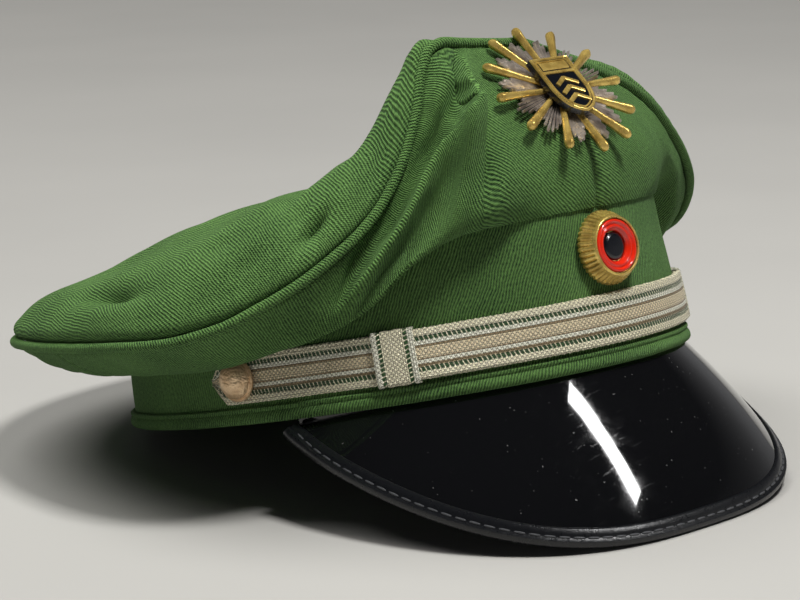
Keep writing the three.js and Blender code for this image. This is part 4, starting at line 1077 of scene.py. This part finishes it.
FLUTES, FLUTE_DEPTH, RIM_POINTS = 40, 0.3, 70
place = on_band(0.0, COCKADE_LEVEL, 0.3)
rim = smooth([
    (0, 0, 0), (10.6, 0, 0.6), (11.3, 0.5, 1), (11.35, 1.1, 1), (10.9, 2.3, 1), (10.0, 3.9, 0.9),
    (9.5, 4.9, 0.5), (9.35, 5.5, 0), (9.0, 5.95, 0), (8.6, 6.0, 0), (8.4, 5.6, 0), (8.4, 2.6, 0),
    (0, 2.6, 0),
], RIM_POINTS)
rim[:, 0] += np.sin(np.arange(RIM_POINTS) * 2.2) * 0.09 * (rim[:, 2] > 0.3)
rings = lathe(rim, FLUTES * 8, lambda a: FLUTE_DEPTH * (2 * np.abs(np.sin(a * FLUTES / 2)) - 1.3))
placed(skin("cockade_rim_gold", put(rings, place), gold, weld=True), "gold", "cockade_rim")
ring = smooth([
    (4.6, 2.9), (8.1, 2.9), (8.1, 5.4), (7.8, 5.9), (7.3, 5.95), (6.9, 5.6), (6.6, 5.35), (6.25, 5.65),
    (5.75, 5.7), (5.3, 5.2), (4.8, 4.7), (4.6, 4.2), (4.6, 3.0),
], 60)
placed(skin("cockade_ring_red", put(lathe(ring, 96), place), red, weld=True), "red", "cockade_ring")
centre = smooth([(0, 2.9), (4.3, 2.9), (4.3, 4.1), (4.0, 4.6), (3.0, 4.95), (0, 5.1)], 40)
rings = put(lathe(centre, 64), place)
placed(skin("cockade_centre_black", rings, black, weld=True), "black", "cockade_centre")

# Star badge, in its own frame: right, up along the cloth, out of the cloth.
TILT = math.radians(53.107403)
badge = (
    np.array([0, -92.59788, 83.63776]),
    np.array([[1, 0, 0], [0, math.cos(TILT), math.sin(TILT)], [0, -math.sin(TILT), math.cos(TILT)]]),
)
# Long rays and the dull rays of the fans between them: where they start, half widths at both ends,
# height as a share of the width, level, thickening near the end, and how sharp their keel is.
RAY = dict(start=4, thin=0.9, thick=1.6, height=1.1, lift=1.75, bulb=0.12, steps=44, sides=16, keel=1.35)
FAN = dict(start=4, thin=0.22, thick=0.56, height=1.7, lift=1.0, bulb=0, steps=24, sides=8, keel=1.9)
FAN_REACH, FAN_FIRST, FAN_STEP = (0.66, 0.76, 0.83, 0.8, 0.72, 0.62), 5.2, 3.92


def bar(stop, turn, start, thin, thick, height, lift, bulb, steps, sides, keel):
    """A ray: a rod from one distance to another, round or keeled, with a rounded end."""
    s = 1 - (1 - np.linspace(0, 1, steps)) ** 1.6
    radius = thin + (thick - thin) * s ** 1.2 + bulb * bell((s - 0.9) / 0.1)
    reach = start + (stop - start) * s
    end = np.clip((stop - reach) / (thick * 1.3), 0, 1)
    radius = (radius * np.sqrt(np.maximum(1 - (1 - end) ** 2, 0.0004)))[:, None]
    a = full_turn(sides)
    across = np.sign(np.cos(a)) * np.abs(np.cos(a)) ** keel * radius
    up = np.sign(np.sin(a)) * np.abs(np.sin(a)) ** keel * radius * height + lift
    cos, sin = math.cos(turn), math.sin(turn)
    points = vec(across, reach[:, None], up) @ np.array([[cos, sin, 0], [-sin, cos, 0], [0, 0, 1]])
    return put(points.reshape(-1, 3), badge), ring_quads(steps, sides)[0]


rays, fans = [], []
for k in range(STAR_RAYS):
    turn = 2 * math.pi * k / STAR_RAYS
    rays.append(bar(STAR_RADIUS, turn, **RAY))
    for place, reach in enumerate(FAN_REACH):
        fans.append(bar(STAR_RADIUS * reach, turn + math.radians(FAN_FIRST + FAN_STEP * place), **FAN))
placed(merged("badge_star_rays", rays, gold, weld=True), "gold", "badge_star")
merged("badge_star_fans", fans, pewter, weld=True)
# A dark disc under the rays and fans: painted shade in the gaps between the fans' rods.
plate = np.array([(0, 0.0), (13.5, 0.0), (14.5, 0.5), (13, 1.0), (0, 1.5)])
skin("badge_star_shade_plate", put(lathe(plate, 72), badge), painted_shade_metal, weld=True)

# Shield, a little below the star's middle, and the level of its field above the cloth.
shield_place = (badge[0] - badge[1][1] * 1.6, badge[1])
FIELD = 5.2


def shield_outline(inset):
    """Points round the shield: a flat top, straight sides and a rounded point below."""
    half, top = SHIELD_WIDTH / 2 - inset, SHIELD_HEIGHT / 2 - inset
    low, knee = -SHIELD_HEIGHT / 2 + inset * 1.2, SHIELD_HEIGHT * -0.05
    t = np.linspace(0, 1, 24)[:, None]

    def curve(a, b, c):
        return np.array(a) * (1 - t) ** 2 + np.array(b) * 2 * t * (1 - t) + np.array(c) * t * t

    return np.concatenate([side[:-1] for side in (
        np.linspace((-half, top), (-half, knee), 10),
        curve((-half, knee), (-half * 0.95, low + 1.64), (0, low)),
        curve((0, low), (half * 0.95, low + 1.64), (half, knee)),
        np.linspace((half, knee), (half, top), 10),
        np.linspace((half, top), (-half, top), 10),
    )])


STEPS_IN = [
    # inset, height, finish of the band of faces that starts here: 0 black, 1 gold
    (0.35, 3.0, 0), (0.0, 3.3, 0), (0.0, 5.3, 1), (0.15, 5.75, 1), (0.45, 5.95, 1), (0.8, 5.8, 1),
    (0.95, 5.5, 0), (1.2, 5.5, 1), (1.35, 5.75, 1), (1.6, 5.75, 1), (1.75, 5.4, 0), (4.5, 5.4, 0),
    (7.0, 5.4, 0),
]
loops = [np.insert(shield_outline(inset), 2, height, axis=1) for inset, height, _ in STEPS_IN]
to_middle = np.array([0.02, 0.02, 1])
rings = np.array([loops[0] * to_middle, *loops, loops[-1] * to_middle])
n, m = rings.shape[:2]
quads = ring_quads(n, m)[0]
finish_at = np.array([0] + [f for _, _, f in STEPS_IN])[quads[:, 0] // m]
points = put(rings.reshape(-1, 3), shield_place)
shield = build("badge_shield_plate", points, quads, [black, gold], crease=50, finish_at=finish_at)
placed(shield, "gold", "badge_shield")


def ribbon(path, width, high):
    """Points and faces of a flat bar along a path on the shield's field, its top rounded off."""
    path = np.array(path, float)
    along = unit(np.gradient(path, axis=0))
    side = np.stack([-along[:, 1], along[:, 0]], -1) * width
    outline = [(-0.5, FIELD), (-0.5, high - 0.15), (-0.36, high)]
    outline += [(-across, level) for across, level in reversed(outline)]
    rings = np.stack([np.insert(path + side * across, 2, level, axis=1) for across, level in outline], 1)
    n, m = rings.shape[:2]
    ends = np.array([[0, 1, 4, 5], [1, 2, 3, 4]])
    faces = np.concatenate([ring_quads(n, m)[0], ends, ends + (n - 1) * m])
    return put(rings.reshape(-1, 3), shield_place), faces


charges = [
    ribbon([(x, 5.2) for x in np.linspace(-6.3, 6.3, 9)], 1.0, 5.9),
    ribbon([(x, 7.9) for x in np.linspace(-5.6, 5.6, 9)], 3.1, 5.65),
]
for top in (2.6, -0.9, -4.4):
    for way in (-1, 1):
        charges.append(ribbon([(way * x, top - x * 0.6) for x in np.linspace(0, 4.4, 7)], 1.5, 5.9))
merged("badge_shield_charges", charges, gold)

# Floor
floor_mesh = bpy.data.meshes.new("floor")
floor_mesh.from_pydata([(-9, -9, 0), (9, -9, 0), (9, 9, 0), (-9, 9, 0)], [], [(0, 1, 2, 3)])
made, tree, shader = new_finish("floor", Roughness=0.6, Specular_IOR_Level=0.25)
wire(shader, "Base Color", blend(tree, noise(tree, 6, 3), (0.385, 0.381, 0.373), (0.425, 0.42, 0.41)))
floor_mesh.materials.append(made)
show("floor", floor_mesh)


# Light
def area_light(name, place, target, size, power, glossy, colour, upright=(0, 0, 1)):
    data = bpy.data.lights.new(name, "AREA")
    data.shape = "RECTANGLE"
    data.size, data.size_y = size
    data.energy = power
    data.color = colour
    lamp = show(name, data)
    back = unit(np.array(place, float) - np.array(target, float))
    right = unit(np.cross(upright, back))
    lamp.matrix_world = matrix(right, np.cross(back, right), back, place)
    lamp.visible_glossy = glossy
    return lamp


DAY, WHITE = (1, 0.985, 0.94), (1, 1, 1)
area_light("sky", (-0.7, 1.7, 4.5), (0, 1.0, 0), (3.8, 3.8), 205, False, DAY)
area_light("key", (0.02, -0.52, 1.42), (0, 0, 0.07), (0.3, 0.3), 23, False, DAY)
lamp = area_light(
    "strip", (0.408, -0.759, 0.948), (-0.022, -0.108, 0.028), (0.085, 0.68), 7, True, WHITE,
    upright=(-0.38, 0.4025, 0.4265),
)
lamp.visible_diffuse = False

world_light = bpy.data.worlds.new("studio")
bpy.context.scene.world = world_light
world_light.use_nodes = True
tree = world_light.node_tree
sky = tree.nodes["Background"]
parts = tree.nodes.new("ShaderNodeSeparateXYZ")
wire(parts, 0, tree.nodes.new("ShaderNodeTexCoord").outputs["Generated"])
haze = spread(tree, parts.outputs[2], 0.12, 0.4, 1.0, 0.0)
wire(sky, "Color", blend(tree, haze, (0.03, 0.03, 0.032), (0.55, 0.55, 0.56)))
sky.inputs["Strength"].default_value = 0.36

# Camera: its place and its directions to the right, up and back in the cap's own frame, and its
# focal length in pixels of the picture.
EYE = (-549.910, -655.991, 64.791)
RIGHT, ABOVE = (0.748470, -0.640211, -0.172981), (0.160594, -0.078100, 0.983926)
BACK = (-0.643430, -0.764219, 0.044358)
FOCAL, PICTURE_WIDTH = 2580.92, 800
camera_data = bpy.data.cameras.new("camera")
camera = show("camera", camera_data)
camera_data.sensor_width = 36
camera_data.lens = FOCAL / PICTURE_WIDTH * camera_data.sensor_width
camera_data.clip_start, camera_data.clip_end = 0.05, 60
origin = world(np.zeros(3))
axes = [world(np.array(way) * 1000) - origin for way in (RIGHT, ABOVE, BACK)]
camera.matrix_world = matrix(*axes, world(np.array(EYE)))
bpy.context.scene.camera = camera
bpy.context.scene.view_settings.view_transform = "Standard"
